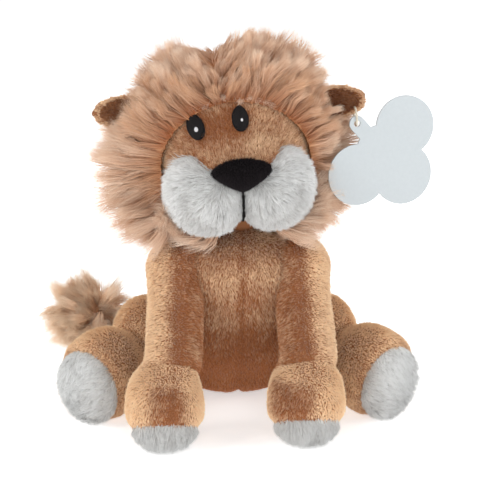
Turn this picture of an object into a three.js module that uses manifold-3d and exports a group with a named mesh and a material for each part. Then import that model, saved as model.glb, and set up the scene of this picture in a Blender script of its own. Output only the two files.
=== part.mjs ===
// A sitting plush lion with a long-pile mane, a tail with a tuft and a blank clover-shaped hang tag.
// Every sewn skin is a shell of short-pile fabric round its own fibre filling. The head turns and nods
// on a stuffed neck, the legs, the tail and the ears flex at their seams, and the tag swings on its loop.
// Millimetres, +Z up. The lion faces -Y, and the origin is the middle of the flat under its seat.
import * as THREE from "three";
import { mergeVertices } from "three/addons/utils/BufferGeometryUtils.js";
import Module from "manifold-3d";

const wasm = await Module();
wasm.setup();

// Fabric, seams and clearances
const FABRIC = 2.2; // pile and backing of the short-pile skin
const SEAM_GAP = 0.4; // between two pieces that a seam draws together
const SWING_GAP = 0.6; // round a joint's ball or disc
const FLOOR_CUT = 0.5; // how deep a stuffed form is flattened where it rests
const OVERRUN = 5; // how far a cutting tool runs past what it cuts
const WELD = 1e-4; // corners nearer than this are one

// Torso
const TORSO_HEIGHT = 76;
const TORSO_WIDTH = 73;
const TORSO_DEPTH = 65;
const TORSO_LEAN = 30; // how far the neck stands in front of the seat
const POUCH_DEPTH = 15; // of the bag of pellets in the seat

// Head
const NECK_RADIUS = 12;
const HEAD_WIDTH = 62;
const HEAD_DEPTH = 54;
const HEAD_HEIGHT = 58;
const HEAD_SEAT = 26; // from the neck's middle up to the head's
const HEAD_FORWARD = 2; // and forward
const HEAD_TURN = 2; // degrees, towards the lion's left
const HEAD_TILT = -4.5; // degrees, crown towards the lion's right
const CHEEK_WIDTH = 33;
const CHEEK_DEPTH = 45;
const CHEEK_HEIGHT = 33;
const CHEEK_SPACING = 23.5;
const MUZZLE_FORWARD = 21; // from the neck's middle forward to the cheeks'
const MUZZLE_RISE = 13; // and up
const NOSE_RISE = 21.4; // from the neck's middle up to the nose's
const EYE_RISE = 38.7; // and to the left eye's
const EYE_DROP = 1.9; // how much lower the right eye is sewn on
const BRIDGE_WIDTH = 34; // of the brown wedge between the cheeks, at the eyes
const BRIDGE_HEIGHT = 26;
const NOSE_WIDTH = 22;
const NOSE_HEIGHT = 12.5;
const NOSE_DEPTH = 10;
const STITCH_WIDTH = 1.5;
const STITCH_RISE = 0.8;
const PATCH_RISE = 1.1; // how far the embroidered eyes stand out
const EYE_WIDTH = 7;
const EYE_HEIGHT = 9.6;
const EYE_SPACING = 15.9;
const EYE_SHIFT = -5.9; // the pair is sewn on a little to the lion's right
const GLINT_SIZE = 2.2;

// Mane
const MANE_REACH = 18; // how far the long pile stands out beside the head
const MANE_TOP = 13; // and above it
const MANE_DEPTH = 60;
const MANE_BACK = 8.5; // how far the mane's middle lies behind the head's
const MANE_LOCKS = 15;
const MANE_LOCK_RISE = 3.2; // of a lock over the dips beside it
const MANE_COLLAR = 5; // degrees below level, the slope that the mane ends on above the shoulders
const FACE_WIDTH = 61;
const FACE_HEIGHT = 53;
const FACE_RISE = 20.5; // from the neck's middle up to the face's

// Ears
const EAR_LENGTH = 27;
const EAR_HEIGHT = 15.5;
const EAR_THICKNESS = 5;
const EAR_RISE = 41.3; // above the neck's middle
const EAR_LEVEL = 1.8; // sewn nearly level with the floor on a tilted head: one lower, the other higher
const EAR_FORWARD = 9;
const EAR_FOLD = 12; // degrees, each way
const EAR_CUP = 1.4; // how deep the front of the ear is cupped

// Front legs
const LEG_RADIUS = 11.2;
const SHOULDER_RADIUS = 12.4;
const LEG_SPACING = 51; // between the two legs' middles
const LEG_SWING = 50; // degrees, forwards
const PAW_WIDTH = 30.5;
const PAW_LENGTH = 33;
const PAW_HEIGHT = 30;
const ANKLE_OUT = 2.2; // how far an ankle stands outside its shoulder
const LEFT_PAW_OUT = -1.8; // and a paw's middle outside its ankle
const RIGHT_PAW_OUT = 3.2;
const PAW_STEP = 1.8; // the right paw is set forward and the left one back by this
const PAD_TILT = 21; // degrees, how far the pad's seam rises towards the toes

// Hind legs
const HAUNCH_DIAMETER = 43;
const HAUNCH_THICKNESS = 36;
const FOOT_HEIGHT = 37.2;
const FOOT_WIDTH = 31;
const FOOT_LENGTH = 44;
const FOOT_GAP = 0.6; // between a hind foot's inner side and the front leg beside it
const FOOT_SPLAY = 36; // degrees outwards from straight ahead
const FOOT_AHEAD = 23; // from the haunch's middle forward to the foot's
const SOLE_DROP = 18; // degrees, how far the sole faces down

// Tail
const TAIL_RADIUS = 4.2;
const TAIL_BALL = 5.4;
const TUFT_LENGTH = 34;
const TUFT_THICKNESS = 28;
const TUFT_LOCKS = 9;
const TUFT_LOCK_RISE = 2.2;
const TAIL_IN_TUFT = 9;

// Hang tag
const TAG_THICKNESS = 0.8;
const LOBE_RADIUS = 11.6;
const LOBE_OFFSET = 12.8;
const TAG_HANG = 14.5; // from the hole down to the middle of the clover
const TAB_WIDTH = 6;
const TAG_HOLE_RADIUS = 1.3;
const TAG_LEAN = 43; // degrees, how far the mane holds the tag off hanging straight
const TAG_YAW = 15; // degrees, the outer side further back
const LOOP_WIRE = 0.8;
const LOOP_DIAMETER = 6.8;

const LEFT = 1; // the lion's left, which is +X
const RIGHT = -1;
const UP = new THREE.Vector3(0, 0, 1);
const DOWN = new THREE.Vector3(0, 0, -1);
const SIDE = new THREE.Vector3(1, 0, 0);
const AHEAD = new THREE.Vector3(0, -1, 0);
const vec = (x, y, z) => new THREE.Vector3(x, y, z);
const rad = THREE.MathUtils.degToRad;
const SMOOTH = { around: 16, rings: 8 }; // facets round and along an outer form
const PLAIN = { around: 10, rings: 6 }; // and one that is inside a skin
const REACH = TORSO_HEIGHT + HEAD_HEIGHT + MANE_TOP; // longer than any piece

// Solids: three.js geometry goes in, manifold booleans join and cut, and geometry comes out.
function solidOf(geometry) {
  const bare = geometry.index ? geometry.toNonIndexed() : geometry.clone();
  const position = bare.getAttribute("position");
  const merged = mergeVertices(new THREE.BufferGeometry().setAttribute("position", position), WELD);
  return new wasm.Manifold(
    new wasm.Mesh({
      numProp: 3,
      vertProperties: merged.attributes.position.array,
      triVerts: new Uint32Array(merged.index.array),
    }),
  );
}

function geometryOf(solid) {
  const mesh = solid.getMesh();
  const geometry = new THREE.BufferGeometry();
  geometry.setAttribute("position", new THREE.BufferAttribute(mesh.vertProperties, 3));
  geometry.setIndex(new THREE.BufferAttribute(mesh.triVerts, 1));
  geometry.computeVertexNormals();
  return geometry;
}

const cutBy = (solid, ...tools) => tools.reduce((rest, tool) => rest.subtract(tool), solid);
const joined = (...solids) => solids.reduce((whole, solid) => whole.add(solid));
const mirrored = (solid, side) => (side === LEFT ? solid : solid.mirror([1, 0, 0]));

// The largest body of a cut solid, without the crumbs that two curved forms leave.
const mainBody = (solid) => solid.decompose().reduce((a, b) => (b.volume() > a.volume() ? b : a));

// A solid turned by degrees about an axis through a point, as a joint turns it.
function turnedAbout(solid, point, degrees) {
  const [x, y, z] = point.toArray();
  return solid.translate([-x, -y, -z]).rotate(degrees).translate([x, y, z]);
}

// All the places that a solid passes through as its joint goes through the given angles.
const swept = (solid, point, axis, angles) =>
  joined(...angles.map((angle) => turnedAbout(solid, point, axis.map((share) => share * angle))));

// An ellipsoid with its poles along Z, grown all round by grow.
function egg(centre, width, depth, height, { grow = 0, around = 16, rings = 10 } = {}) {
  const geometry = new THREE.SphereGeometry(1, around, rings);
  geometry.rotateX(Math.PI / 2);
  geometry.scale(width / 2 + grow, depth / 2 + grow, height / 2 + grow);
  return solidOf(geometry.translate(centre.x, centre.y, centre.z));
}

const ball = (centre, radius, detail = SMOOTH) => egg(centre, 2 * radius, 2 * radius, 2 * radius, detail);

// An ellipsoid with its poles along Y, whose surface rises in locks round that axis.
function lockedEgg(centre, width, depth, height, locks, rise) {
  const geometry = new THREE.SphereGeometry(1, locks * 3, 9);
  geometry.scale(width / 2, depth / 2, height / 2);
  const position = geometry.getAttribute("position");
  for (let i = 0; i < position.count; i++) {
    const x = position.getX(i);
    const z = position.getZ(i);
    const out = Math.hypot(x / (width / 2), z / (height / 2));
    const lock = Math.cos(locks * Math.atan2(z / height, x / width));
    const scale = 1 + (rise * out * (lock - 1)) / width;
    position.setXYZ(i, x * scale, position.getY(i), z * scale);
  }
  return solidOf(geometry.translate(centre.x, centre.y, centre.z));
}

// A lathe turned about Z from [radius, height] pairs that run upwards from the axis back to it.
function turned(profile, around) {
  const points = profile.map(([r, h]) => new THREE.Vector2(r, h));
  return solidOf(new THREE.LatheGeometry(points, around).rotateX(Math.PI / 2));
}

// All the space beyond a point along a direction.
function beyond(point, direction) {
  const box = new THREE.BoxGeometry(2 * REACH, 2 * REACH, REACH);
  box.translate(0, 0, REACH / 2);
  box.applyQuaternion(new THREE.Quaternion().setFromUnitVectors(UP, direction.clone().normalize()));
  return solidOf(box.translate(point.x, point.y, point.z));
}

// A prism along Y over a closed outline of [x, z] points.
function prism(outline, from, to) {
  const shape = new THREE.Shape(outline.map(([x, z]) => new THREE.Vector2(x, z)));
  const geometry = new THREE.ExtrudeGeometry(shape, { depth: to - from, bevelEnabled: false });
  geometry.rotateX(Math.PI / 2);
  return solidOf(geometry.translate(0, to, 0));
}

function oval(x, z, width, height, steps = 24) {
  const turn = (i) => (2 * Math.PI * i) / steps;
  return Array.from({ length: steps }, (_, i) => [
    x + (width / 2) * Math.cos(turn(i)),
    z + (height / 2) * Math.sin(turn(i)),
  ]);
}

// A stuffed form: rings along a smooth spine, swelling and tapering, with a dome on each end.
// girths are [half width, half depth] at the spine's points, and level keeps the rings horizontal.
function stuffed(form) {
  const { spine, girths, domes, grow = 0, level = false, across = SIDE } = form;
  const { steps = 8, around = 20, domeRings = 3 } = form;
  const line = new THREE.CatmullRomCurve3(spine);
  const swell = new THREE.CatmullRomCurve3(girths.map(([w, d]) => vec(w, d, 0)));
  const rings = [];
  const addRing = (centre, axis, width, depth) => {
    const side = across.clone().addScaledVector(axis, -across.dot(axis)).normalize();
    const front = new THREE.Vector3().crossVectors(axis, side);
    const point = (a) =>
      centre
        .clone()
        .addScaledVector(side, width * Math.cos(a))
        .addScaledVector(front, depth * Math.sin(a));
    rings.push(Array.from({ length: around }, (_, i) => point((2 * Math.PI * i) / around)));
  };
  const station = (t) => {
    const girth = swell.getPoint(t);
    const axis = level ? UP : line.getTangent(t);
    return { centre: line.getPoint(t), axis, width: girth.x + grow, depth: girth.y + grow };
  };
  const addDome = (t, out, rise) => {
    const { centre, axis, width, depth } = station(t);
    const order = Array.from({ length: domeRings }, (_, i) => (i + 1) / (domeRings + 1));
    for (const share of out < 0 ? order.reverse() : order) {
      const angle = (share * Math.PI) / 2;
      const place = centre.clone().addScaledVector(axis, out * rise * Math.sin(angle));
      addRing(place, axis, width * Math.cos(angle), depth * Math.cos(angle));
    }
    return centre.clone().addScaledVector(axis, out * rise);
  };
  const first = addDome(0, -1, domes[0] + grow);
  for (let i = 0; i <= steps; i++) {
    const { centre, axis, width, depth } = station(i / steps);
    addRing(centre, axis, width, depth);
  }
  const last = addDome(1, 1, domes[1] + grow);
  const points = [first, ...rings.flat(), last];
  const at = (ring, i) => 1 + ring * around + (i % around);
  const index = [];
  for (let i = 0; i < around; i++) {
    index.push(0, at(0, i + 1), at(0, i));
    for (let r = 0; r + 1 < rings.length; r++) {
      index.push(at(r, i), at(r, i + 1), at(r + 1, i + 1), at(r, i), at(r + 1, i + 1), at(r + 1, i));
    }
    index.push(points.length - 1, at(rings.length - 1, i), at(rings.length - 1, i + 1));
  }
  return solidOf(new THREE.BufferGeometry().setFromPoints(points).setIndex(index));
}

// Materials
const finish = (color, roughness) => new THREE.MeshStandardMaterial({ color, roughness, metalness: 0 });
const TAN_PILE = finish(0xc08a5c, 0.95);
const WHITE_PILE = finish(0xe6e6e2, 0.95);
const MANE_PILE = finish(0xd9ac85, 0.9);
const BLACK_THREAD = finish(0x18141a, 0.6);
const WHITE_THREAD = finish(0xe8e8ee, 0.6);
const FILLING = finish(0xf4f2ec, 1);
const PELLETS = finish(0xd8d8d0, 0.8);
const CARD = finish(0xe6eaf0, 0.4);
const NYLON = finish(0xf2f2f2, 0.3);

const lion = new THREE.Group();
const head = new THREE.Group();
const tag = new THREE.Group();
lion.add(head, tag);
function piece(name, solid, material, group = lion) {
  const mesh = new THREE.Mesh(geometryOf(mainBody(solid)), material.clone());
  mesh.name = name;
  group.add(mesh);
}

const floor = beyond(vec(0, 0, 0), DOWN);
const skinFloor = beyond(vec(0, 0, FABRIC), DOWN);
const fillingFloor = beyond(vec(0, 0, FABRIC + SEAM_GAP), DOWN);
const INNER = FABRIC + SEAM_GAP; // from the outside of a skin in to its filling

// Torso form: a leaning pear, widest at the belly and drawn in at the neck.
const torsoHeightShares = [0.12, 0.32, 0.54, 0.76, 0.91];
const torsoLeanShares = [0, 0.24, 0.52, 0.8, 0.94];
const torsoGirthShares = [0.35, 0.49, 0.485, 0.4, 0.26];
function torsoForm(grow, around = 18, steps = 5) {
  const topShare = torsoHeightShares.at(-1);
  return stuffed({
    spine: torsoHeightShares.map((h, i) => vec(0, -TORSO_LEAN * torsoLeanShares[i], TORSO_HEIGHT * h)),
    girths: torsoGirthShares.map((share) => [TORSO_WIDTH * share, TORSO_DEPTH * share]),
    domes: [TORSO_HEIGHT * torsoHeightShares[0] + FLOOR_CUT, TORSO_HEIGHT * (1 - topShare)],
    level: true,
    domeRings: 2,
    steps,
    around,
    grow,
  });
}

// Neck: a stuffed ball between torso and head, with a stem that is sewn down into the torso.
const neckPivot = vec(0, -TORSO_LEAN, TORSO_HEIGHT + NECK_RADIUS / 3);
const stemRadius = NECK_RADIUS * 0.7;
const stemBottom = neckPivot.z - NECK_RADIUS * 1.35;
function neckForm(grow) {
  const profile = [
    [0, stemBottom - grow],
    [stemRadius + grow, stemBottom - grow],
    [stemRadius + grow, neckPivot.z],
    [0, neckPivot.z],
  ];
  const stem = turned(profile, 14).translate([neckPivot.x, neckPivot.y, 0]);
  return ball(neckPivot, NECK_RADIUS + grow).add(stem);
}

// Haunch: a thick round cushion turned about the hip's own axis, so that it can turn in its seat.
const haunchCentre = vec(TORSO_WIDTH * 0.43, -TORSO_LEAN * 0.4, HAUNCH_DIAMETER / 2 - FLOOR_CUT);
const haunchThicknessShares = [1, 0.91, 0.7, 0.42, 0.14];
const haunchRadiusShares = [0.26, 0.58, 0.84, 0.97, 1];
function haunchForm(grow, around = grow < 0 ? 10 : 16) {
  const half = HAUNCH_THICKNESS / 2 + grow;
  const radius = HAUNCH_DIAMETER / 2 + grow;
  const outside = haunchRadiusShares.map((r, i) => [radius * r, half * haunchThicknessShares[i]]);
  const inside = outside.map(([r, h]) => [r, -h]);
  const lens = turned([[0, -half], ...inside, ...outside.reverse(), [0, half]], around);
  return lens.rotate([0, 90, 0]).translate(haunchCentre.toArray());
}

// Front leg: a sleeve from the shoulder ball forward and down to the ankle seam, and a paw.
const shoulder = vec(LEG_SPACING / 2 - ANKLE_OUT, -TORSO_LEAN * 1.3, TORSO_HEIGHT * 0.79);
const pawAhead = PAW_LENGTH * 0.92;
function frontLegPlan(step, pawOut) {
  const ankleX = shoulder.x + ANKLE_OUT;
  const pawCentre = vec(ankleX + pawOut, shoulder.y - pawAhead - step, PAW_HEIGHT / 2 - FLOOR_CUT);
  const ankle = vec(ankleX, pawCentre.y + PAW_LENGTH * 0.16, PAW_HEIGHT * 0.88);
  return { pawCentre, ankle, down: ankle.clone().sub(shoulder).normalize() };
}
const legGirthShares = [1, 0.97, 0.93];
function sleeveForm(plan, grow) {
  const knee = shoulder.clone().lerp(plan.ankle, 0.5);
  knee.y += LEG_RADIUS * 0.1;
  const end = plan.ankle.clone().addScaledVector(plan.down, OVERRUN);
  const girths = [SHOULDER_RADIUS, ...legGirthShares.map((share) => LEG_RADIUS * share)];
  return stuffed({
    spine: [shoulder, knee, plan.ankle, end],
    girths: girths.map((radius) => [radius, radius]),
    domes: [SHOULDER_RADIUS, OVERRUN],
    steps: 4,
    around: grow < 0 ? 8 : 14,
    domeRings: 1,
    grow,
  });
}
const detailOf = (grow) => ({ grow, ...(grow < 0 ? PLAIN : SMOOTH) });
const pawForm = (plan, grow) => egg(plan.pawCentre, PAW_WIDTH, PAW_LENGTH, PAW_HEIGHT, detailOf(grow));

// Hind foot: a stub that points outwards and ahead from the haunch, with a domed sole.
const splay = rad(FOOT_SPLAY);
const footAim = vec(Math.sin(splay), -Math.cos(splay), 0);
const footCentre = vec(
  LEG_SPACING / 2 + LEG_RADIUS + FOOT_GAP + (FOOT_WIDTH / 2) * Math.cos(splay),
  haunchCentre.y - FOOT_AHEAD,
  FOOT_HEIGHT / 2 - FLOOR_CUT,
);
const soleNormal = footAim.clone().multiplyScalar(Math.cos(rad(SOLE_DROP))).setZ(-Math.sin(rad(SOLE_DROP)));
const footStationShares = [-0.3, 0, 0.27]; // along the foot, from its middle
const footGirthShares = [0.36, 0.5, 0.475];
const footDomeShares = [0.2, 0.19];
const footSpine = footStationShares.map((share, i) =>
  footCentre
    .clone()
    .addScaledVector(footAim, FOOT_LENGTH * share)
    .setZ(i === 0 ? footCentre.z : FOOT_HEIGHT * footGirthShares[i] - FLOOR_CUT),
);
function footForm(grow) {
  return stuffed({
    spine: footSpine,
    girths: footGirthShares.map((share) => [FOOT_WIDTH * share, FOOT_HEIGHT * share]),
    domes: footDomeShares.map((share) => FOOT_LENGTH * share),
    steps: 3,
    around: grow < 0 ? 8 : 14,
    domeRings: grow < 0 ? 1 : 2,
    grow,
  });
}

// Tail: leaves the seat behind and curls round the lion's right haunch to its tuft.
const tailPivot = vec(0, TORSO_DEPTH * 0.45, TORSO_HEIGHT * 0.18);
const tailReach = TORSO_WIDTH / 2 + HAUNCH_THICKNESS * 0.6;
const tailSideShares = [0, -0.21, -0.55, -0.83, -1];
const tailBackShares = [0, 0.23, 0.16, -0.16, -0.55];
const tailRiseShares = [0, 0.04, 0.24, 0.52, 0.8];
const tailSpine = tailSideShares.map((share, i) =>
  vec(
    tailPivot.x + tailReach * share,
    tailPivot.y + (TORSO_DEPTH / 2) * tailBackShares[i],
    tailPivot.z + (HAUNCH_DIAMETER / 2) * tailRiseShares[i],
  ),
);
function tailForm(grow, end) {
  return stuffed({
    spine: tailSpine,
    girths: tailSpine.map(() => [TAIL_RADIUS, TAIL_RADIUS]),
    domes: [0, end],
    steps: 8,
    around: grow < 0 ? 5 : 8,
    domeRings: 1,
    across: UP,
    grow,
  });
}

// Torso skin, its pouch of pellets and its filling, with seats for the neck, the legs and the tail
const both = (make) => [make(LEFT), make(RIGHT)];
function torsoSeats(wall) {
  const detail = wall > 0 ? PLAIN : SMOOTH;
  return [
    ...both((side) => mirrored(haunchForm(SWING_GAP + wall, detail.around), side)),
    ...both((side) => mirrored(ball(shoulder, SHOULDER_RADIUS + SWING_GAP + wall, detail), side)),
    ball(tailPivot, TAIL_BALL + SWING_GAP + wall, PLAIN),
  ];
}
const neckSeat = neckForm(SWING_GAP);
const torsoOuter = cutBy(torsoForm(0), ...torsoSeats(0), floor);
const torsoInner = mainBody(cutBy(torsoForm(-FABRIC, 10, 4), ...torsoSeats(FABRIC), skinFloor));
piece("torso_skin", cutBy(torsoOuter, torsoInner, neckSeat), TAN_PILE);

const pouchTop = INNER + POUCH_DEPTH;
const insideTorso = cutBy(torsoForm(-INNER, 10, 4), ...torsoSeats(INNER), neckSeat, fillingFloor);
piece("pellet_pouch", insideTorso.subtract(beyond(vec(0, 0, pouchTop), UP)), PELLETS);
piece("torso_filling", insideTorso.subtract(beyond(vec(0, 0, pouchTop + SEAM_GAP), DOWN)), FILLING);
piece("neck_filling", neckForm(0), FILLING);

// Front legs, each of a sleeve, a paw, a white pad and one filling
const legSwingShares = [0, 1];
const legAngles = legSwingShares.map((share) => LEG_SWING * share);
const torsoPassing = swept(torsoForm(SWING_GAP), shoulder, [1, 0, 0], legAngles);
const padTilt = rad(PAD_TILT);
const padNormal = vec(0, -Math.sin(padTilt), -Math.cos(padTilt));
const shortOf = (point, direction) =>
  beyond(point.clone().addScaledVector(direction, SEAM_GAP), direction.clone().negate());
const legs = [
  { name: "left", side: LEFT, plan: frontLegPlan(-PAW_STEP, LEFT_PAW_OUT) },
  { name: "right", side: RIGHT, plan: frontLegPlan(PAW_STEP, RIGHT_PAW_OUT) },
];
for (const { name, side, plan } of legs) {
  const pastAnkle = beyond(plan.ankle, plan.down);
  const padSeam = plan.pawCentre.clone().add(vec(0, 0, -PAW_HEIGHT * 0.24));
  const gathered = shoulder.clone().addScaledVector(plan.down, SHOULDER_RADIUS * 1.4);
  const aboveGather = beyond(gathered, plan.down.clone().negate());
  const belowGather = shortOf(gathered, plan.down);
  const outside = sleeveForm(plan, 0).subtract(torsoPassing).add(ball(shoulder, SHOULDER_RADIUS));
  const inside = sleeveForm(plan, -FABRIC).subtract(aboveGather);
  const paw = pawForm(plan, 0).subtract(pawForm(plan, -FABRIC).subtract(skinFloor));
  const sleeveCore = cutBy(sleeveForm(plan, -INNER), pastAnkle, belowGather);
  const pawCore = pawForm(plan, -INNER).subtract(fillingFloor);
  piece(`front_leg_${name}_sleeve`, mirrored(cutBy(outside, inside, pastAnkle), side), TAN_PILE);
  const upper = cutBy(paw, shortOf(plan.ankle, plan.down), beyond(padSeam, padNormal), floor);
  piece(`front_paw_${name}`, mirrored(upper, side), TAN_PILE);
  const pad = cutBy(paw, shortOf(padSeam, padNormal), floor);
  piece(`front_pad_${name}`, mirrored(pad, side), WHITE_PILE);
  piece(`front_leg_${name}_filling`, mirrored(sleeveCore.add(pawCore), side), FILLING);
}

// Hind legs, each of a haunch, a foot, a white sole and one filling
const soleSeam = footSpine.at(-1);
const haunchInside = haunchForm(-FABRIC).subtract(skinFloor);
const foot = footForm(0).subtract(footForm(-FABRIC).subtract(skinFloor));
const haunch = cutBy(haunchForm(0), haunchInside, footForm(-FABRIC).subtract(skinFloor), floor);
const footSkin = cutBy(foot, haunchForm(SEAM_GAP), beyond(soleSeam, soleNormal), floor);
const sole = cutBy(foot, shortOf(soleSeam, soleNormal), haunchForm(SEAM_GAP), floor);
const hindFilling = haunchForm(-INNER).add(footForm(-INNER)).subtract(fillingFloor);
for (const [name, side] of [["left", LEFT], ["right", RIGHT]]) {
  piece(`haunch_${name}`, mirrored(haunch, side), TAN_PILE);
  piece(`hind_foot_${name}`, mirrored(footSkin, side), TAN_PILE);
  piece(`hind_sole_${name}`, mirrored(sole, side), WHITE_PILE);
  piece(`hind_leg_${name}_filling`, mirrored(hindFilling, side), FILLING);
}

// Tail skin, filling and tuft
const tailEnd = tailSpine.at(-1);
const tailAim = tailEnd.clone().sub(tailSpine.at(-2)).normalize();
const clearOfSeat = (tube, wall) =>
  tube.subtract(torsoForm(SWING_GAP + wall)).add(ball(tailPivot, TAIL_BALL - wall, PLAIN));
const tailOutside = clearOfSeat(tailForm(0, 0), 0);
const tailInside = mainBody(clearOfSeat(tailForm(-FABRIC, OVERRUN), FABRIC));
const tailCore = clearOfSeat(tailForm(-INNER, 0), INNER);
piece("tail_skin", tailOutside.subtract(tailInside), TAN_PILE);
piece("tail_filling", tailCore, FILLING);
const tuftMiddle = tailEnd.clone().addScaledVector(tailAim, TUFT_LENGTH / 2 - TAIL_IN_TUFT);
const tuftTurn = new THREE.Matrix4().lookAt(vec(0, 0, 0), tailAim.clone(), UP);
const tuftForm = lockedEgg(
  vec(0, 0, 0),
  TUFT_THICKNESS,
  TUFT_LENGTH,
  TUFT_THICKNESS,
  TUFT_LOCKS,
  TUFT_LOCK_RISE,
)
  .rotate([90, 0, 0])
  .transform(tuftTurn.setPosition(tuftMiddle).elements);
piece("tail_tuft", tuftForm.subtract(tailForm(SEAM_GAP, SEAM_GAP)), MANE_PILE);

// The head's own group: its origin is the neck's middle, and the head turns and tilts about it.
head.position.copy(neckPivot);
head.rotation.set(0, rad(HEAD_TILT), rad(HEAD_TURN), "ZYX");
const headCentre = vec(0, -HEAD_FORWARD, HEAD_SEAT);
const headForm = (grow, detail = { around: 18, rings: 12 }) =>
  egg(headCentre, HEAD_WIDTH, HEAD_DEPTH, HEAD_HEIGHT, { grow, ...detail });
const insideHead = { around: 12, rings: 7 };
const neckSocket = ball(vec(0, 0, 0), NECK_RADIUS + SWING_GAP);
piece("head_skin", cutBy(headForm(0), headForm(-FABRIC, insideHead), neckSocket), TAN_PILE, head);
piece("head_filling", headForm(-INNER, insideHead).subtract(neckSocket), FILLING, head);

// Muzzle: a brown wedge that runs down to the nose between two white cheeks, and the stitched mouth
const cheekForm = (side, grow) =>
  egg(
    vec((side * CHEEK_SPACING) / 2, -MUZZLE_FORWARD, MUZZLE_RISE),
    CHEEK_WIDTH,
    CHEEK_DEPTH,
    CHEEK_HEIGHT,
    { grow, around: 14, rings: 9 },
  );
const muzzleForm = (grow) => cheekForm(LEFT, grow).add(cheekForm(RIGHT, grow));
const noseFootShare = 0.34; // of the nose's width, at its foot
const noseSpreadShare = 1.22; // and how much it has gained at its top
const noseMiddle = vec(0, NOSE_DEPTH * 0.3 - MUZZLE_FORWARD - CHEEK_DEPTH / 2, NOSE_RISE);
function noseForm(grow) {
  const geometry = new THREE.SphereGeometry(1, 14, 8);
  const position = geometry.getAttribute("position");
  for (let i = 0; i < position.count; i++) {
    const upShare = (position.getY(i) + 1) / 2;
    position.setX(i, position.getX(i) * (noseFootShare + noseSpreadShare * upShare));
  }
  geometry.rotateX(Math.PI / 2);
  geometry.scale(NOSE_WIDTH / 2 + grow, NOSE_DEPTH / 2 + grow, NOSE_HEIGHT / 2 + grow);
  return solidOf(geometry.translate(noseMiddle.x, noseMiddle.y, noseMiddle.z));
}
const wedgeTop = NOSE_RISE + BRIDGE_HEIGHT;
const wedgeTip = NOSE_RISE - NOSE_HEIGHT * 0.3;
function wedge(grow) {
  const right = [
    [BRIDGE_WIDTH * 0.75 + grow, wedgeTop],
    [NOSE_WIDTH / 2 + grow, NOSE_RISE + NOSE_HEIGHT * 0.15],
  ];
  const left = right.map(([x, z]) => [-x, z]).reverse();
  return prism([...right, [0, wedgeTip - grow], ...left].reverse(), -REACH, 0);
}
const eyes = [
  { name: "left", x: EYE_SHIFT + EYE_SPACING / 2, z: EYE_RISE },
  { name: "right", x: EYE_SHIFT - EYE_SPACING / 2, z: EYE_RISE - EYE_DROP },
];
const eyePrism = (x, z, grow) =>
  prism(oval(x, z, EYE_WIDTH + 2 * grow, EYE_HEIGHT + 2 * grow, 16), -REACH, headCentre.y);
const bridgeEgg = egg(
  vec(0, -MUZZLE_FORWARD, NOSE_RISE),
  BRIDGE_WIDTH,
  CHEEK_DEPTH - NOSE_DEPTH / 2,
  BRIDGE_HEIGHT,
  { around: 14, rings: 9 },
);
const headClear = headForm(SEAM_GAP);
const noseClear = noseForm(SEAM_GAP);
const eyeSpaces = eyes.map(({ x, z }) => eyePrism(x, z, SEAM_GAP));
const bridge = cutBy(bridgeEgg.intersect(wedge(0)), headClear, noseClear, ...eyeSpaces);
piece("snout_bridge", bridge, TAN_PILE, head);
for (const [name, side] of [["left", LEFT], ["right", RIGHT]]) {
  const middle = beyond(vec((side * SEAM_GAP) / 2, 0, 0), vec(-side, 0, 0));
  const cheek = cutBy(cheekForm(side, 0), middle, wedge(SEAM_GAP), headClear, noseClear);
  piece(`cheek_${name}`, cheek, WHITE_PILE, head);
}
piece("nose", noseForm(0), BLACK_THREAD, head);
const mouthBottom = MUZZLE_RISE - CHEEK_HEIGHT * 0.34;
const mouthBand = prism(
  [
    [-STITCH_WIDTH / 2, mouthBottom],
    [STITCH_WIDTH / 2, mouthBottom],
    [STITCH_WIDTH / 2, wedgeTip - SEAM_GAP],
    [-STITCH_WIDTH / 2, wedgeTip - SEAM_GAP],
  ],
  -REACH,
  -MUZZLE_FORWARD,
);
const mouth = muzzleForm(SEAM_GAP + STITCH_RISE).subtract(muzzleForm(SEAM_GAP)).intersect(mouthBand);
piece("mouth_stitch", mouth.subtract(noseClear), BLACK_THREAD, head);

// Eyes: embroidered ovals on the head's skin, each with a white glint
const patchOn = (base) => headForm(base + PATCH_RISE).subtract(headForm(base));
const onEye = 2 * SEAM_GAP + PATCH_RISE;
for (const { name, x, z } of eyes) {
  piece(`eye_${name}`, patchOn(SEAM_GAP).intersect(eyePrism(x, z, 0)), BLACK_THREAD, head);
  const spot = prism(oval(x, z - GLINT_SIZE / 2, GLINT_SIZE, GLINT_SIZE, 10), -REACH, headCentre.y);
  piece(`eye_glint_${name}`, patchOn(onEye).intersect(spot), WHITE_THREAD, head);
}

// Ears: flat pods with a cupped front, each folding forwards and back at its root
const earRoot = (HEAD_WIDTH / 2) * 0.82;
const earMiddle = (side) => vec(side * (earRoot + EAR_LENGTH / 2), -EAR_FORWARD, EAR_RISE - side * EAR_LEVEL);
const earForm = (side, grow) =>
  egg(earMiddle(side), EAR_LENGTH, EAR_THICKNESS, EAR_HEIGHT, { grow, around: 12, rings: 6 });
const earHinge = (side) => earMiddle(side).add(vec((-side * EAR_LENGTH) / 2, 0, 0));
const earSeam = -EAR_FORWARD - EAR_THICKNESS * 0.08;

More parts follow.
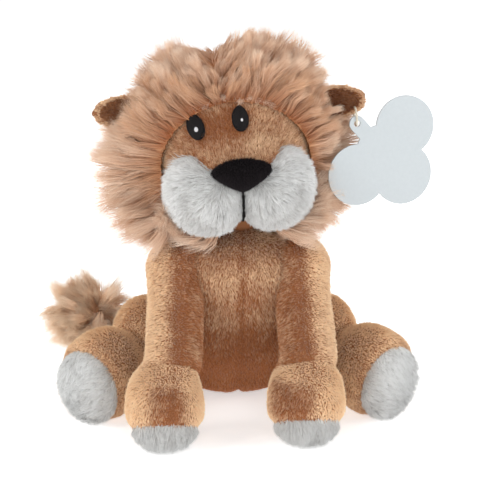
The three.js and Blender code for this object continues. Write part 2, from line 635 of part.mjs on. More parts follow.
// Loop for the tag, sewn through the lower edge of the lion's left ear
const loopAlongShare = 0.27; // of the ear's length, from its middle to the loop
const earEdge = (EAR_HEIGHT / 2) * Math.sqrt(1 - (2 * loopAlongShare) ** 2);
const loopMiddle = earMiddle(LEFT).add(
  vec(EAR_LENGTH * loopAlongShare, -EAR_THICKNESS * 0.42, LOOP_WIRE - earEdge),
);
function loopForm(grow) {
  const ring = new THREE.TorusGeometry(LOOP_DIAMETER / 2, LOOP_WIRE / 2 + grow, 6, 18);
  return solidOf(ring.rotateY(Math.PI / 2).translate(loopMiddle.x, loopMiddle.y, loopMiddle.z));
}
piece("tag_loop", loopForm(0), NYLON, head);
for (const [name, side] of [["left", LEFT], ["right", RIGHT]]) {
  const { x, z } = earMiddle(side);
  const pod = cutBy(earForm(side, 0), headClear, ...(side === LEFT ? [loopForm(SEAM_GAP)] : []));
  const cup = egg(
    vec(x, -EAR_FORWARD - EAR_THICKNESS / 2, z),
    EAR_LENGTH * 0.68,
    2 * EAR_CUP,
    EAR_HEIGHT * 0.62,
    { around: 10, rings: 4 },
  );
  piece(`ear_${name}_back`, pod.subtract(beyond(vec(0, earSeam + SEAM_GAP / 2, 0), AHEAD)), TAN_PILE, head);
  const front = pod.intersect(beyond(vec(0, earSeam - SEAM_GAP / 2, 0), AHEAD));
  piece(`ear_${name}_lining`, front.subtract(cup), TAN_PILE, head);
}

// Mane: a ruff in front of the ears that frames the face, and the rest of the long pile behind it
const maneForm = lockedEgg(
  headCentre.clone().add(vec(0, MANE_BACK, 0)),
  HEAD_WIDTH + 2 * MANE_REACH,
  MANE_DEPTH,
  HEAD_HEIGHT + 2 * MANE_TOP,
  MANE_LOCKS,
  MANE_LOCK_RISE,
);
const collar = turned(
  [
    [0, -REACH],
    [REACH, -REACH],
    [REACH, -REACH * Math.tan(rad(MANE_COLLAR))],
    [0, 0],
  ],
  24,
);
const faceSpace = prism(oval(0, FACE_RISE, FACE_WIDTH, FACE_HEIGHT), -REACH, headCentre.y);
const foldShares = [-1, -0.5, 0, 0.5, 1];
const foldAngles = foldShares.map((share) => EAR_FOLD * share);
const earSpaces = both((side) => swept(earForm(side, SWING_GAP), earHinge(side), [0, 0, 1], foldAngles));
const maneSeat = egg(headCentre, HEAD_WIDTH, HEAD_DEPTH, HEAD_HEIGHT, { grow: SEAM_GAP + SWING_GAP });
const mane = cutBy(maneForm, maneSeat, muzzleForm(SEAM_GAP), faceSpace, collar, neckSocket, ...earSpaces);
const frontOf = (gap) => beyond(vec(0, -EAR_FORWARD - gap, 0), AHEAD);
piece("mane_ruff", mane.intersect(frontOf(SEAM_GAP / 2)), MANE_PILE, head);
piece("mane_back", mane.subtract(frontOf(-SEAM_GAP / 2)), MANE_PILE, head);

// Hang tag: a clover of three lobes with a tab, hung by the hole in its tab. Its face is left bare.
head.updateMatrixWorld();
const hangFrom = loopMiddle.clone().add(vec(0, -1, -1).normalize().multiplyScalar(LOOP_DIAMETER / 2));
tag.position.copy(head.localToWorld(hangFrom));
tag.rotation.set(0, -rad(TAG_LEAN), rad(TAG_YAW), "ZYX");
function disc(x, z, radius, thickness, around = 24) {
  return solidOf(new THREE.CylinderGeometry(radius, radius, thickness, around).translate(x, 0, z));
}
const lobes = [
  [-LOBE_OFFSET, -TAG_HANG],
  [LOBE_OFFSET, -TAG_HANG],
  [0, -TAG_HANG - LOBE_OFFSET],
];
const tab = new THREE.BoxGeometry(TAB_WIDTH, TAG_THICKNESS, TAG_HANG).translate(0, 0, -TAG_HANG / 2);
const card = joined(
  solidOf(tab),
  disc(0, 0, TAB_WIDTH / 2, TAG_THICKNESS),
  disc(0, -TAG_HANG, LOBE_RADIUS * 0.85, TAG_THICKNESS),
  ...lobes.map(([x, z]) => disc(x, z, LOBE_RADIUS, TAG_THICKNESS)),
);
piece("hang_tag", card.subtract(disc(0, 0, TAG_HOLE_RADIUS, OVERRUN, 12)), CARD, tag);

export default lion;
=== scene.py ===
import math

import bmesh
import bpy
import numpy as np
from mathutils import Matrix, Vector, noise
from mathutils.bvhtree import BVHTree


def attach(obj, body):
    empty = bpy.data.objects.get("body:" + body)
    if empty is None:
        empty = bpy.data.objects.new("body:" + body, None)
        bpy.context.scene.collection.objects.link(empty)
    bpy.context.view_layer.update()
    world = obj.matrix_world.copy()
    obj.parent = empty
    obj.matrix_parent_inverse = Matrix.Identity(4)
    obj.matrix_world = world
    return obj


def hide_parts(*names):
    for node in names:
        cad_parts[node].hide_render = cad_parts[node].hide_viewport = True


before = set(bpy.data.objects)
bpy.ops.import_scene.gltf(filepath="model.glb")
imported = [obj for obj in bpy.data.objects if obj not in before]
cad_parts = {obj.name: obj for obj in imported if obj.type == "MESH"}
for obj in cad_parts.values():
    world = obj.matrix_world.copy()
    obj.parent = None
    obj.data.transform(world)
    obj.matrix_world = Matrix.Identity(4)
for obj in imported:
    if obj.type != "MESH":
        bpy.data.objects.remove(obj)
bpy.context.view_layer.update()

scene = bpy.context.scene

# Torso
# A leaning pear of short-pile plush, cut in panels that meet in a seam down the belly and the back,
# stuffed with fibre over a bag of pellets. It is tight round the chest and sits flat on its seat.
TORSO_HEIGHT = 0.076
TORSO_WIDTH = 0.073
TORSO_DEPTH = 0.065
TORSO_LEAN = 0.030
PILE_RISE = 0.0012  # how far the combed pile lifts the surface off its backing
PILE_FLOOR = 0.0001  # the lowest that strands reach
CLOTH_FLOOR = 0.0006  # and the lowest that the cloth under them does
BACKING = 0.0009
CLOTH_VOXEL = 0.0028  # of the coarse skin that is stuffed, before it is subdivided
FINE_VOXEL = 0.0011  # of the skins of small pieces
CLOTH_SHARE = 0.4  # of the stuffed skin's triangles that its backing keeps under the pile
SEAM_DEPTH = 0.0008
SEAM_WIDTH = 0.0016
STUFFING_SCALE = 10  # the cloth is stuffed at ten times its size, where its forces are well scaled
STUFFING_FRAMES = 20
STUFFING_PRESSURE = 4


def spline(points, shares):
    """The places on a smooth line through the points, at the given shares of its run."""
    p = np.asarray(points, float)
    p = np.vstack([2 * p[0] - p[1], p, 2 * p[-1] - p[-2]])
    run = np.clip(np.asarray(shares, float) * (len(p) - 3), 0, len(p) - 3 - 1e-9)
    i = run.astype(int)
    f = (run - i)[:, None]
    a, b, c, d = p[i], p[i + 1], p[i + 2], p[i + 3]
    return b + 0.5 * f * (c - a + f * (2 * a - 5 * b + 4 * c - d + f * (3 * (b - c) + d - a)))


def unit(vectors):
    return vectors / np.maximum(np.linalg.norm(vectors, axis=-1, keepdims=True), 1e-12)


def tube(spine, girths, domes, across=(1, 0, 0), level=False, steps=36, around=40):
    """A stuffed form: rings along a smooth line, swelling and tapering, with a dome on each end."""
    shares = np.linspace(0, 1, steps + 1)
    line, girth = spline(spine, shares), spline(girths, shares)
    axis = np.tile((0.0, 0.0, 1.0), (len(line), 1)) if level else unit(np.gradient(line, axis=0))
    rise = np.radians(np.linspace(12, 80, 6))
    low = line[0] - np.outer(np.sin(rise[::-1]) * domes[0], axis[0])
    high = line[-1] + np.outer(np.sin(rise) * domes[1], axis[-1])
    centres = np.vstack([low, line, high])
    axes = np.vstack([np.tile(axis[0], (6, 1)), axis, np.tile(axis[-1], (6, 1))])
    widths = np.vstack([np.outer(np.cos(rise[::-1]), girth[0]), girth, np.outer(np.cos(rise), girth[-1])])
    across = np.asarray(across, float)
    side = unit(across - axes * (axes @ across)[:, None])
    front = np.cross(axes, side)
    turn = np.linspace(0, 2 * np.pi, around, endpoint=False)
    rings = centres[:, None] + side[:, None] * (widths[:, :1] * np.cos(turn))[..., None]
    rings = rings + front[:, None] * (widths[:, 1:] * np.sin(turn))[..., None]
    ends = [line[0] - axis[0] * domes[0], line[-1] + axis[-1] * domes[1]]
    faces = []
    for r in range(len(rings) - 1):
        for i in range(around):
            a, b = r * around + i, r * around + (i + 1) % around
            faces.append((a, b, b + around, a + around))
    last = len(rings) * around
    for i in range(around):
        nearby = (i + 1) % around
        faces.append((last, nearby, i))
        faces.append((last + 1, last - around + i, last - around + nearby))
    return np.vstack([rings.reshape(-1, 3), ends]), faces


def egg(centre, size, turned=None):
    """An ellipsoid of the given width, depth and height."""
    ball = bmesh.new()
    bmesh.ops.create_uvsphere(ball, u_segments=40, v_segments=24, radius=0.5)
    places = np.array([v.co for v in ball.verts]) * size
    faces = [[v.index for v in face.verts] for face in ball.faces]
    ball.free()
    if turned is not None:
        places = places @ np.array(turned.to_3x3()).T
    return places + np.asarray(centre), faces


def placed(shape, matrix):
    """A shape moved by a matrix."""
    places, faces = shape
    matrix = np.array(matrix)
    return places @ matrix[:3, :3].T + matrix[:3, 3], faces


def new_piece(name, mesh):
    """Puts a mesh into the scene as a piece."""
    piece = bpy.data.objects.new(name, mesh)
    scene.collection.objects.link(piece)
    return piece


def new_object(name, places, faces):
    mesh = bpy.data.meshes.new(name)
    mesh.from_pydata([tuple(p) for p in places], [], [tuple(f) for f in faces])
    return new_piece(name, mesh)


def plain_mesh(piece):
    """A plain mesh of a piece with its modifiers."""
    depsgraph = bpy.context.evaluated_depsgraph_get()
    return bpy.data.meshes.new_from_object(
        piece.evaluated_get(depsgraph), preserve_all_data_layers=True, depsgraph=depsgraph
    )


def settle(piece):
    """Makes a piece's modifiers part of its mesh."""
    mesh = plain_mesh(piece)
    piece.modifiers.clear()
    old, piece.data = piece.data, mesh
    mesh.name = piece.name
    bpy.data.meshes.remove(old)


def places_of(mesh):
    values = np.zeros(len(mesh.vertices) * 3)
    mesh.vertices.foreach_get("co", values)
    return values.reshape(-1, 3)


def normals_of(mesh):
    values = np.zeros(len(mesh.vertices) * 3)
    mesh.vertex_normals.foreach_get("vector", values)
    return values.reshape(-1, 3)


def move_to(mesh, places):
    mesh.vertices.foreach_set("co", np.asarray(places, float).ravel())
    mesh.update()


def stuff(skin, held, cap):
    """Fills a skin by a short run of cloth under pressure, held where it is sewn. It swells by no more
    than cap."""
    before = places_of(skin.data)
    move_to(skin.data, before * STUFFING_SCALE)
    sewn = skin.vertex_groups.new(name="sewn")
    sewn.add([int(i) for i in np.flatnonzero(held)], 1.0, "REPLACE")
    cloth = skin.modifiers.new("stuffing", "CLOTH")
    cloth.settings.quality = 5
    cloth.settings.use_pressure = True
    cloth.settings.uniform_pressure_force = STUFFING_PRESSURE
    cloth.settings.vertex_group_mass = "sewn"
    cloth.settings.effector_weights.gravity = 0
    cloth.point_cache.frame_end = STUFFING_FRAMES
    for frame_number in range(1, STUFFING_FRAMES + 1):
        scene.frame_set(frame_number)
    settle(skin)
    scene.frame_set(1)
    skin.vertex_groups.clear()
    move = places_of(skin.data) / STUFFING_SCALE - before
    far = np.linalg.norm(move, axis=1, keepdims=True)
    move_to(skin.data, before + move * np.minimum(1, cap / np.maximum(far, 1e-9)))


def sewn_form(name, shapes, seams, cap=0.0016, smooth=4, voxel=CLOTH_VOXEL, floor=None):
    """Sews shapes into one skin, stuffs it and draws it in at its seams. seams gives each point's
    distance from the nearest one, and cap is how far the stuffing swells the skin."""
    offsets = np.cumsum([0] + [len(p) for p, _ in shapes])
    faces = [[i + o for i in face] for (_, fs), o in zip(shapes, offsets) for face in fs]
    skin = new_object(name, np.vstack([p for p, _ in shapes]), faces)
    remesh = skin.modifiers.new("cut", "REMESH")
    remesh.mode = "VOXEL"
    remesh.voxel_size = voxel
    ease = skin.modifiers.new("ease", "SMOOTH")
    ease.factor = 0.5
    ease.iterations = smooth
    settle(skin)
    if cap:
        stuff(skin, seams(places_of(skin.data)) < voxel * 0.75, cap)
    round_off = skin.modifiers.new("round", "SUBSURF")
    round_off.levels = round_off.render_levels = 1
    settle(skin)
    after = places_of(skin.data)
    near = np.exp(-((seams(after) / SEAM_WIDTH) ** 2))[:, None]
    after = after - normals_of(skin.data) * near * SEAM_DEPTH
    if floor is not None:
        after[:, 2] = np.maximum(after[:, 2], floor)
    move_to(skin.data, after)
    skin.data.shade_smooth()
    return skin


def write_attribute(mesh, name, values):
    """Stores one value or vector for each point of a mesh."""
    vector = values.ndim == 2
    kind = "FLOAT_VECTOR" if vector else "FLOAT"
    attribute = mesh.attributes.get(name) or mesh.attributes.new(name, kind, "POINT")
    attribute.data.foreach_set("vector" if vector else "value", values.astype(np.float32).ravel())


def drop_attributes(mesh, names):
    for name in names:
        if name in mesh.attributes:
            mesh.attributes.remove(mesh.attributes[name])


def mottle(places, size, shift=0):
    """Soft patches of this size, from about -1 to 1."""
    step = Vector((shift, 0, 0))
    return np.array([noise.noise(Vector(p) / size + step) for p in places]) * 1.6


def comb_pile(skin, comb, seams, longer=None, pale=None):
    """Stores which way the pile is combed, how long it is and how pale: it is short and dark at a seam,
    and handling has left it lying unevenly."""
    places, normals = places_of(skin.data), normals_of(skin.data)
    near = np.exp(-((seams(places) / (2 * SEAM_WIDTH)) ** 2))
    way = unit(comb(places, normals))
    way = way + np.cross(normals, way) * 0.45 * mottle(places, 0.007)[:, None]
    way = way - normals * np.sum(way * normals, axis=1, keepdims=True)
    length = 1 - 0.45 * near
    if longer is not None:
        length = length * longer(places)
    tint = 0.16 * mottle(places, 0.009, 7) - 0.3 * near**2
    if pale is not None:
        tint = tint + pale(places)
    write_attribute(skin.data, "comb", way / np.maximum(np.linalg.norm(way, axis=1, keepdims=True), 0.4))
    write_attribute(skin.data, "pile", length)
    write_attribute(skin.data, "tint", tint)


def panel(form, name, mask, body, slot, material, *nodes, fill=0.7):
    """One panel of a sewn form: the faces inside the mask, with the backing's thickness."""
    work = bmesh.new()
    work.from_mesh(form.data)
    inside = mask(np.array([f.calc_center_median() for f in work.faces]))
    doomed = [f for f, kept in zip(work.faces, inside) if not kept]
    bmesh.ops.delete(work, geom=doomed, context="FACES")
    mesh = bpy.data.meshes.new(name)
    work.to_mesh(mesh)
    work.free()
    drop_attributes(mesh, ("comb", "pile", "tint", "grow"))
    mesh.materials.clear()
    mesh.materials.append(material)
    piece = new_piece(name, mesh)
    piece.modifiers.new("thin", "DECIMATE").ratio = CLOTH_SHARE
    wall = piece.modifiers.new("backing", "SOLIDIFY")
    wall.thickness = BACKING
    wall.offset = -1
    settle(piece)
    piece.data.shade_smooth()
    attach(piece, body)
    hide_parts(*nodes)


class Wiring:
    """Adds nodes to a tree. A node's inputs are fed in order from a list, or by name from a dict."""

    def __init__(self, tree):
        self.tree = tree

    def __call__(self, kind, feeds=(), **settings):
        node = self.tree.nodes.new(kind)
        for name, value in settings.items():
            setattr(node, name, value)
        live = [socket for socket in node.inputs if socket.enabled]
        if isinstance(feeds, dict):
            feeds = [(next(s for s in live if s.name == name), value) for name, value in feeds.items()]
        else:
            feeds = zip(live, feeds)
        for socket, value in feeds:
            if isinstance(value, bpy.types.NodeSocket):
                self.join(value, socket)
            elif value is not None:
                socket.default_value = value
        return next((socket for socket in node.outputs if socket.enabled), None)

    def join(self, source, socket):
        self.tree.links.new(source, socket)

    def maths(self, operation, *values):
        return self("ShaderNodeMath", values, operation=operation)

    def vectors(self, operation, *values):
        return self("ShaderNodeVectorMath", values, operation=operation)

    def mix(self, share, a, b, kind="RGBA"):
        return self("ShaderNodeMix", {"Factor": share, "A": a, "B": b}, data_type=kind)

    def xyz(self, x, y, z):
        return self("ShaderNodeCombineXYZ", (x, y, z))


def new_tree(name, kind, inputs, **outputs):
    """A node group, its wiring and its inputs. An input is listed with its default, or else its kind."""
    tree = bpy.data.node_groups.new(name, kind)
    for label, value in inputs.items():
        sort = {float: "Float", int: "Int"}.get(type(value), value)
        socket = tree.interface.new_socket(label, in_out="INPUT", socket_type=f"NodeSocket{sort}")
        if sort != value:
            socket.default_value = value
    for label, sort in outputs.items():
        tree.interface.new_socket(label, in_out="OUTPUT", socket_type=f"NodeSocket{sort}")
    return tree, Wiring(tree), tree.nodes.new("NodeGroupInput").outputs


def apply_tree(piece, tree, amounts):
    """Puts a tree on a piece, with its inputs given by name."""
    modifier = piece.modifiers.new(tree.name, "NODES")
    modifier.node_group = tree
    keys = {s.name: s.identifier for s in tree.interface.items_tree if s.in_out == "INPUT"}
    for label, value in amounts.items():
        modifier[keys[label]] = value
    return modifier


def build_pile_tree():
    """Geometry nodes that grow pile on a skin: closed, tapering, arched strands in clumps, combed and
    as long as the skin's attributes say, with a map of shade across and root to tip."""
    inputs = {"Geometry": "Geometry", "Density": 4e6, "Length": 0.003, "Width": 0.0004, "Rise": 1.0}
    inputs |= {"Lay": 1.5, "Untidy": 0.3, "Tangle": 1.0, "Clump": 0.002, "Pull": 0.35, "Shortest": 0.75}
    inputs |= {"Arch": 0.12, "Curl": 0.0, "Segments": 1, "Seed": 1, "Finish": "Material"}
    tree, wire, given = new_tree("pile", "GeometryNodeTree", inputs, Geometry="Geometry")
    scaled = lambda vector, factor: wire.vectors("SCALE", vector, factor)
    added = lambda a, b: wire.vectors("ADD", a, b)
    times = lambda a, b: wire.maths("MULTIPLY", a, b)
    seed = lambda shift: wire.maths("ADD", given["Seed"], float(shift))

    def between(low, high, shift, kind="FLOAT"):
        feeds = {"Min": low, "Max": high, "Seed": seed(shift)}
        return wire("FunctionNodeRandomValue", feeds, data_type=kind)

    def any_way(shift):
        return between((-1, -1, -1), (1, 1, 1), shift, "FLOAT_VECTOR")

    def read(name, kind="FLOAT"):
        return wire("GeometryNodeInputNamedAttribute", {"Name": name}, data_type=kind)

    def store(geometry, name, value, kind="FLOAT", domain="POINT"):
        feeds = {"Geometry": geometry, "Name": name, "Value": value}
        return wire("GeometryNodeStoreNamedAttribute", feeds, data_type=kind, domain=domain)

    def aim(normal, untidy, shift):
        combed = added(scaled(normal, given["Rise"]), scaled(read("comb", "FLOAT_VECTOR"), given["Lay"]))
        return wire.vectors("NORMALIZE", added(combed, scaled(any_way(shift), untidy)))

    here = wire("GeometryNodeInputPosition")
    reach = times(given["Length"], read("pile"))
    grow = read("grow")
    spread = {"Mesh": given["Geometry"], "Distance Min": given["Clump"], "Density Max": 1e8}
    spread |= {"Density Factor": grow, "Seed": seed(50)}
    clumps = wire("GeometryNodeDistributePointsOnFaces", spread, distribute_method="POISSON")
    clump_aim = aim(clumps.node.outputs["Normal"], times(given["Untidy"], given["Tangle"]), 60)
    clump_tip = scaled(clump_aim, times(reach, between(given["Shortest"], 1.2, 61)))
    clump_points = store(clumps, "tip", added(here, clump_tip), "FLOAT_VECTOR")
    clump_points = store(clump_points, "clump_tone", between(-0.2, 0.2, 62))
    clump_points = store(clump_points, "clump_curl", any_way(63), "FLOAT_VECTOR")
    spread = {"Mesh": given["Geometry"], "Density": times(given["Density"], grow), "Seed": seed(0)}
    roots = wire("GeometryNodeDistributePointsOnFaces", spread, distribute_method="RANDOM")
    nearest = wire("GeometryNodeSampleNearest", {"Geometry": clump_points}, domain="POINT")

    def sample(name, kind):
        feeds = {"Geometry": clump_points, "Value": read(name, kind), "Index": nearest}
        return wire("GeometryNodeSampleIndex", feeds, data_type=kind, domain="POINT")

    upright = roots.node.outputs["Normal"]
    own_tip = added(here, scaled(aim(upright, given["Untidy"], 1), times(reach, between(0.7, 1.15, 2))))
    tip = wire.mix(given["Pull"], own_tip, sample("tip", "FLOAT_VECTOR"), "VECTOR")
    chord = wire.vectors("SUBTRACT", tip, here)
    length = wire.vectors("LENGTH", chord)
    tone = wire.maths("ADD", between(0.22, 0.78, 3), sample("clump_tone", "FLOAT"))
    tone = wire.maths("ADD", tone, read("tint"))
    points = store(roots, "upright", upright, "FLOAT_VECTOR")
    points = store(points, "tone", wire("ShaderNodeClamp", [tone, 0.02, 0.97]))
    points = store(points, "reach", length)
    points = store(points, "curl", sample("clump_curl", "FLOAT_VECTOR"), "FLOAT_VECTOR")
    form = {"Vertices": 3, "Side Segments": given["Segments"]}
    form |= {"Radius Top": 0.0, "Radius Bottom": 0.5, "Depth": 1.0}
    cone = wire("GeometryNodeMeshCone", form, fill_type="NGON")
    spot = wire("ShaderNodeSeparateXYZ", [here]).node.outputs
    strand = store(store(cone, "along", spot["Z"]), "across", spot["X"])
    turn = wire("FunctionNodeAlignRotationToVector", {"Vector": chord}, axis="Z")
    spin = wire("FunctionNodeAxisAngleToRotation", {"Axis": (0, 0, 1), "Angle": between(0.0, 6.28, 4)})
    laid = {"Points": points, "Instance": strand}
    laid["Rotation"] = wire("FunctionNodeRotateRotation", [turn, spin], rotation_space="LOCAL")
    laid["Scale"] = wire.xyz(given["Width"], given["Width"], length)
    strands = wire("GeometryNodeRealizeInstances", [wire("GeometryNodeInstanceOnPoints", laid)])
    along = read("along")
    bow = times(times(along, wire.maths("SUBTRACT", 4.0, times(along, 4.0))), read("reach"))
    bend = scaled(read("upright", "FLOAT_VECTOR"), given["Arch"])
    bend = added(bend, scaled(read("curl", "FLOAT_VECTOR"), given["Curl"]))
    arched = wire("GeometryNodeSetPosition", {"Geometry": strands, "Offset": scaled(bend, bow)})
    shade = wire.maths("MULTIPLY_ADD", read("across"), 0.03, read("tone"))
    mapped = store(arched, "OFBake", wire.xyz(shade, along, 0.0), "FLOAT2", "CORNER")
    soft = added(scaled(read("upright", "FLOAT_VECTOR"), 1.5), wire("GeometryNodeInputNormal"))
    lighting = {"Mesh": mapped, "Custom Normal": wire.vectors("NORMALIZE", soft)}
    lit = wire("GeometryNodeSetMeshNormal", lighting, mode="FREE", domain="POINT")
    finished = wire("GeometryNodeSetMaterial", {"Geometry": lit, "Material": given["Finish"]})
    wire.join(finished, tree.nodes.new("NodeGroupOutput").inputs[0])
    return tree


pile_tree = build_pile_tree()
SPENT = ("upright", "reach", "curl", "tone", "along", "across", "comb", "pile", "grow", "tint")


def grow_pile(skin, name, mask, body, slot, finish, nodes=(), **amounts):
    """Grows pile on the masked part of a skin, as one plain mesh that rides on a body."""
    write_attribute(skin.data, "grow", np.asarray(mask(places_of(skin.data)), float))
    modifier = apply_tree(skin, pile_tree, {**amounts, "Finish": finish})
    mesh = plain_mesh(skin)
    skin.modifiers.remove(modifier)
    mesh.name = name
    strands = places_of(mesh)
    strands[:, 2] = np.maximum(strands[:, 2], PILE_FLOOR)
    mesh.vertices.foreach_set("co", strands.ravel())
    drop_attributes(mesh, SPENT)
    piece = new_piece(name, mesh)
    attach(piece, body)
    if nodes:
        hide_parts(*nodes)


def build_pile_colour():
    """A strand's colour from its map: root to tip along it, and dark or pale from strand to strand."""
    inputs = {"Map": "Vector", "Dark root": "Color", "Dark tip": "Color"}
    inputs |= {"Pale root": "Color", "Pale tip": "Color"}
    group, wire, given = new_tree("pile_colour", "ShaderNodeTree", inputs, Colour="Color")
    spot = wire("ShaderNodeSeparateXYZ", [given["Map"]]).node.outputs
    dark = wire.mix(spot["Y"], given["Dark root"], given["Dark tip"])
    pale = wire.mix(spot["Y"], given["Pale root"], given["Pale tip"])
    wire.join(wire.mix(spot["X"], dark, pale), group.nodes.new("NodeGroupOutput").inputs[0])
    return group


pile_colour = build_pile_colour()


def new_finish(name, rough, specular=0.2):
    """A material, its wiring and the inputs of its shader."""
    material = bpy.data.materials.new(name)
    material.use_nodes = True
    shader = material.node_tree.nodes["Principled BSDF"].inputs
    shader["Roughness"].default_value = rough
    shader["Specular IOR Level"].default_value = specular
    return material, Wiring(material.node_tree), shader


def pile_finish(name, dark, pale, rough=0.8, sheen=0.3, tint=(1, 0.93, 0.85)):
    """A material for pile: its strands' colours, each from root to tip, with a pale bloom where it is
    seen edge on."""
    material, wire, shader = new_finish(name, rough)
    shader["Sheen Weight"].default_value = sheen
    shader["Sheen Roughness"].default_value = 0.35
    shader["Sheen Tint"].default_value = (*tint, 1)
    feeds = [wire("ShaderNodeUVMap", uv_map="OFBake"), *((*colour, 1) for colour in (*dark, *pale))]
    wire.join(wire("ShaderNodeGroup", feeds, node_tree=pile_colour), shader["Base Color"])
    return material


def build_knit():
    """The knitted backing under pile: fine loops in rows, a little uneven in colour."""
    inputs = {"Light": "Color", "Dark": "Color", "Loops": 900.0}
    group, wire, given = new_tree("knit", "ShaderNodeTree", inputs, Colour="Color", Height="Float")
    place = wire("ShaderNodeTexCoord").node.outputs["Object"]
    weave = {"Vector": place, "Scale": given["Loops"], "Distortion": 2.0, "Detail": 1.0}
    loops = wire("ShaderNodeTexWave", weave).node.outputs["Fac"]
    patches = wire("ShaderNodeTexNoise", {"Vector": place, "Scale": 120.0, "Detail": 3.0})
    colour = wire.mix(wire.maths("MULTIPLY", loops, patches), given["Dark"], given["Light"])
    out = group.nodes.new("NodeGroupOutput")
    wire.join(colour, out.inputs["Colour"])
    wire.join(loops, out.inputs["Height"])
    return group


knit = build_knit()


def cloth_finish(name, light, dark, rough=0.9, loops=900.0):
    """A material for bare backing cloth."""
    material, wire, shader = new_finish(name, rough)
    colour = wire("ShaderNodeGroup", [(*light, 1), (*dark, 1), loops], node_tree=knit)
    height = colour.node.outputs["Height"]
    bump = wire("ShaderNodeBump", {"Strength": 0.4, "Distance": 0.0002, "Height": height})
    wire.join(colour, shader["Base Color"])
    wire.join(bump, shader["Normal"])
    return material


# The tan pile's two colour sets, rust and blond. Strands mix them at random, and the painted shade and
# painted highlights of the belly, legs and face push strands towards one or the other.
RUST = ((0.25, 0.072, 0.02), (0.54, 0.205, 0.075))
BLOND = ((0.90, 0.60, 0.35), (0.99, 0.80, 0.56))
tan_pile = pile_finish("tan_pile", RUST, BLOND, sheen=0.8)
tan_backing = cloth_finish("tan_backing", (0.48, 0.22, 0.10), (0.27, 0.10, 0.04))
SHORT = {"Density": 5.5e6, "Length": 0.0016, "Width": 0.00043, "Lay": 1.1, "Untidy": 0.62}
SHORT |= {"Clump": 0.001, "Pull": 0.35}

torso_up = (0.12, 0.32, 0.54, 0.76, 0.91)
torso_ahead = (0, 0.24, 0.52, 0.8, 0.94)
torso_girth = (0.35, 0.49, 0.485, 0.4, 0.26)
torso_shape = tube(
    [(0, -TORSO_LEAN * a, TORSO_HEIGHT * u) for u, a in zip(torso_up, torso_ahead)],
    [(TORSO_WIDTH * g - PILE_RISE, TORSO_DEPTH * g - PILE_RISE) for g in torso_girth],
    (TORSO_HEIGHT * torso_up[0] - PILE_RISE, TORSO_HEIGHT * (1 - torso_up[-1]) - PILE_RISE),
    level=True,
)
BELLY_SEAM = 0.001  # to the lion's left of the middle
belly_seam = lambda p: 2 * np.abs(p[:, 0] - BELLY_SEAM)
CHEST = (0.056, 0.038, 0.036)  # the front panel's fullness between the legs
chest_shape = egg((0, -1.1 * TORSO_LEAN, 0.76 * TORSO_HEIGHT), CHEST)
torso = sewn_form(
    "torso_form", [torso_shape, chest_shape], belly_seam, cap=0.002, smooth=8, floor=CLOTH_FLOOR
)
downwards = lambda p, n: np.tile((0.0, 0.0, -1.0), (len(p), 1))
# In the folds there, where the belly meets the legs, shade is painted into the pile.
FOLD = 0.0235  # from the middle to where the belly meets the legs


def belly_nap_and_shade(places):
    """Painted shade, with the pile lying downward: darker all over the front, and more so low on the belly
    and in the folds beside the legs. A painted highlight makes the chest a little paler.
    """
    rise = np.clip((places[:, 2] / TORSO_HEIGHT - 0.6) * 1.5, -0.5, 0.25)
    fold_shade = np.exp(-(((np.abs(places[:, 0]) - FOLD) / 0.006) ** 2)) * (places[:, 1] < -TORSO_LEAN)
    return rise - 0.24 - 0.25 * fold_shade


# The belly's front gets painted shade, and a painted highlight over the chest.
comb_pile(torso, downwards, belly_seam, pale=lambda p: np.where(p[:, 1] < 0, belly_nap_and_shade(p), 0.05))
NECK = Vector((0, -TORSO_LEAN, TORSO_HEIGHT + 0.004))
even = lambda value: lambda p: np.full(len(p), value)
whole = even(True)
BARE_BELOW = 0.0012  # the cloth on the floor, where no pile grows
off_floor = lambda p: p[:, 2] > BARE_BELOW
panel(torso, "torso_cloth", whole, "torso", "tan_pile", tan_backing, "torso_skin", fill=0.75)
HAUNCH_COVER = 0.0175  # round each hip, where a haunch hides the torso
HAUNCH_SINK = 0.016
HIP_RISE = 0.021
BACK_SHARE = 0.7  # how thick the pile behind is, next to the pile in front
BACK_START = 0.004  # where the pile behind begins
SIDES = (("left", 1), ("right", -1))
hip_side, hip_back = 0.43 * TORSO_WIDTH, -0.4 * TORSO_LEAN


def torso_shown(places, side):
    """How thickly pile grows on one side of the torso: not under the seat or the haunches."""
    off_hip = np.hypot(places[:, 1] - hip_back, places[:, 2] - HIP_RISE) > HAUNCH_COVER
    open_side = (np.abs(places[:, 0]) < hip_side - HAUNCH_SINK) | off_hip
    on_side = (places[:, 0] > BELLY_SEAM) == (side > 0)
    return off_floor(places) * open_side * on_side * np.where(places[:, 1] > BACK_START, BACK_SHARE, 1)


for name, side in SIDES:
    half = lambda p: torso_shown(p, side)
    grow_pile(torso, f"torso_pile_{name}", half, "torso", "tan_pile", tan_pile, Seed=10 + side, **SHORT)
bpy.data.objects.remove(torso)


def in_torso(places, depth):
    """Whether places lie deeper than this in the torso."""
    share = np.clip(places[:, 2] / TORSO_HEIGHT, torso_up[0], torso_up[-1])
    ahead = np.interp(share, torso_up, torso_ahead)
    girth = np.interp(share, torso_up, torso_girth)
    across = places[:, 0] / (TORSO_WIDTH * girth - depth)
    through = (places[:, 1] + TORSO_LEAN * ahead) / (TORSO_DEPTH * girth - depth)
    return (across**2 + through**2 < 1) & (places[:, 2] < TORSO_HEIGHT - depth)


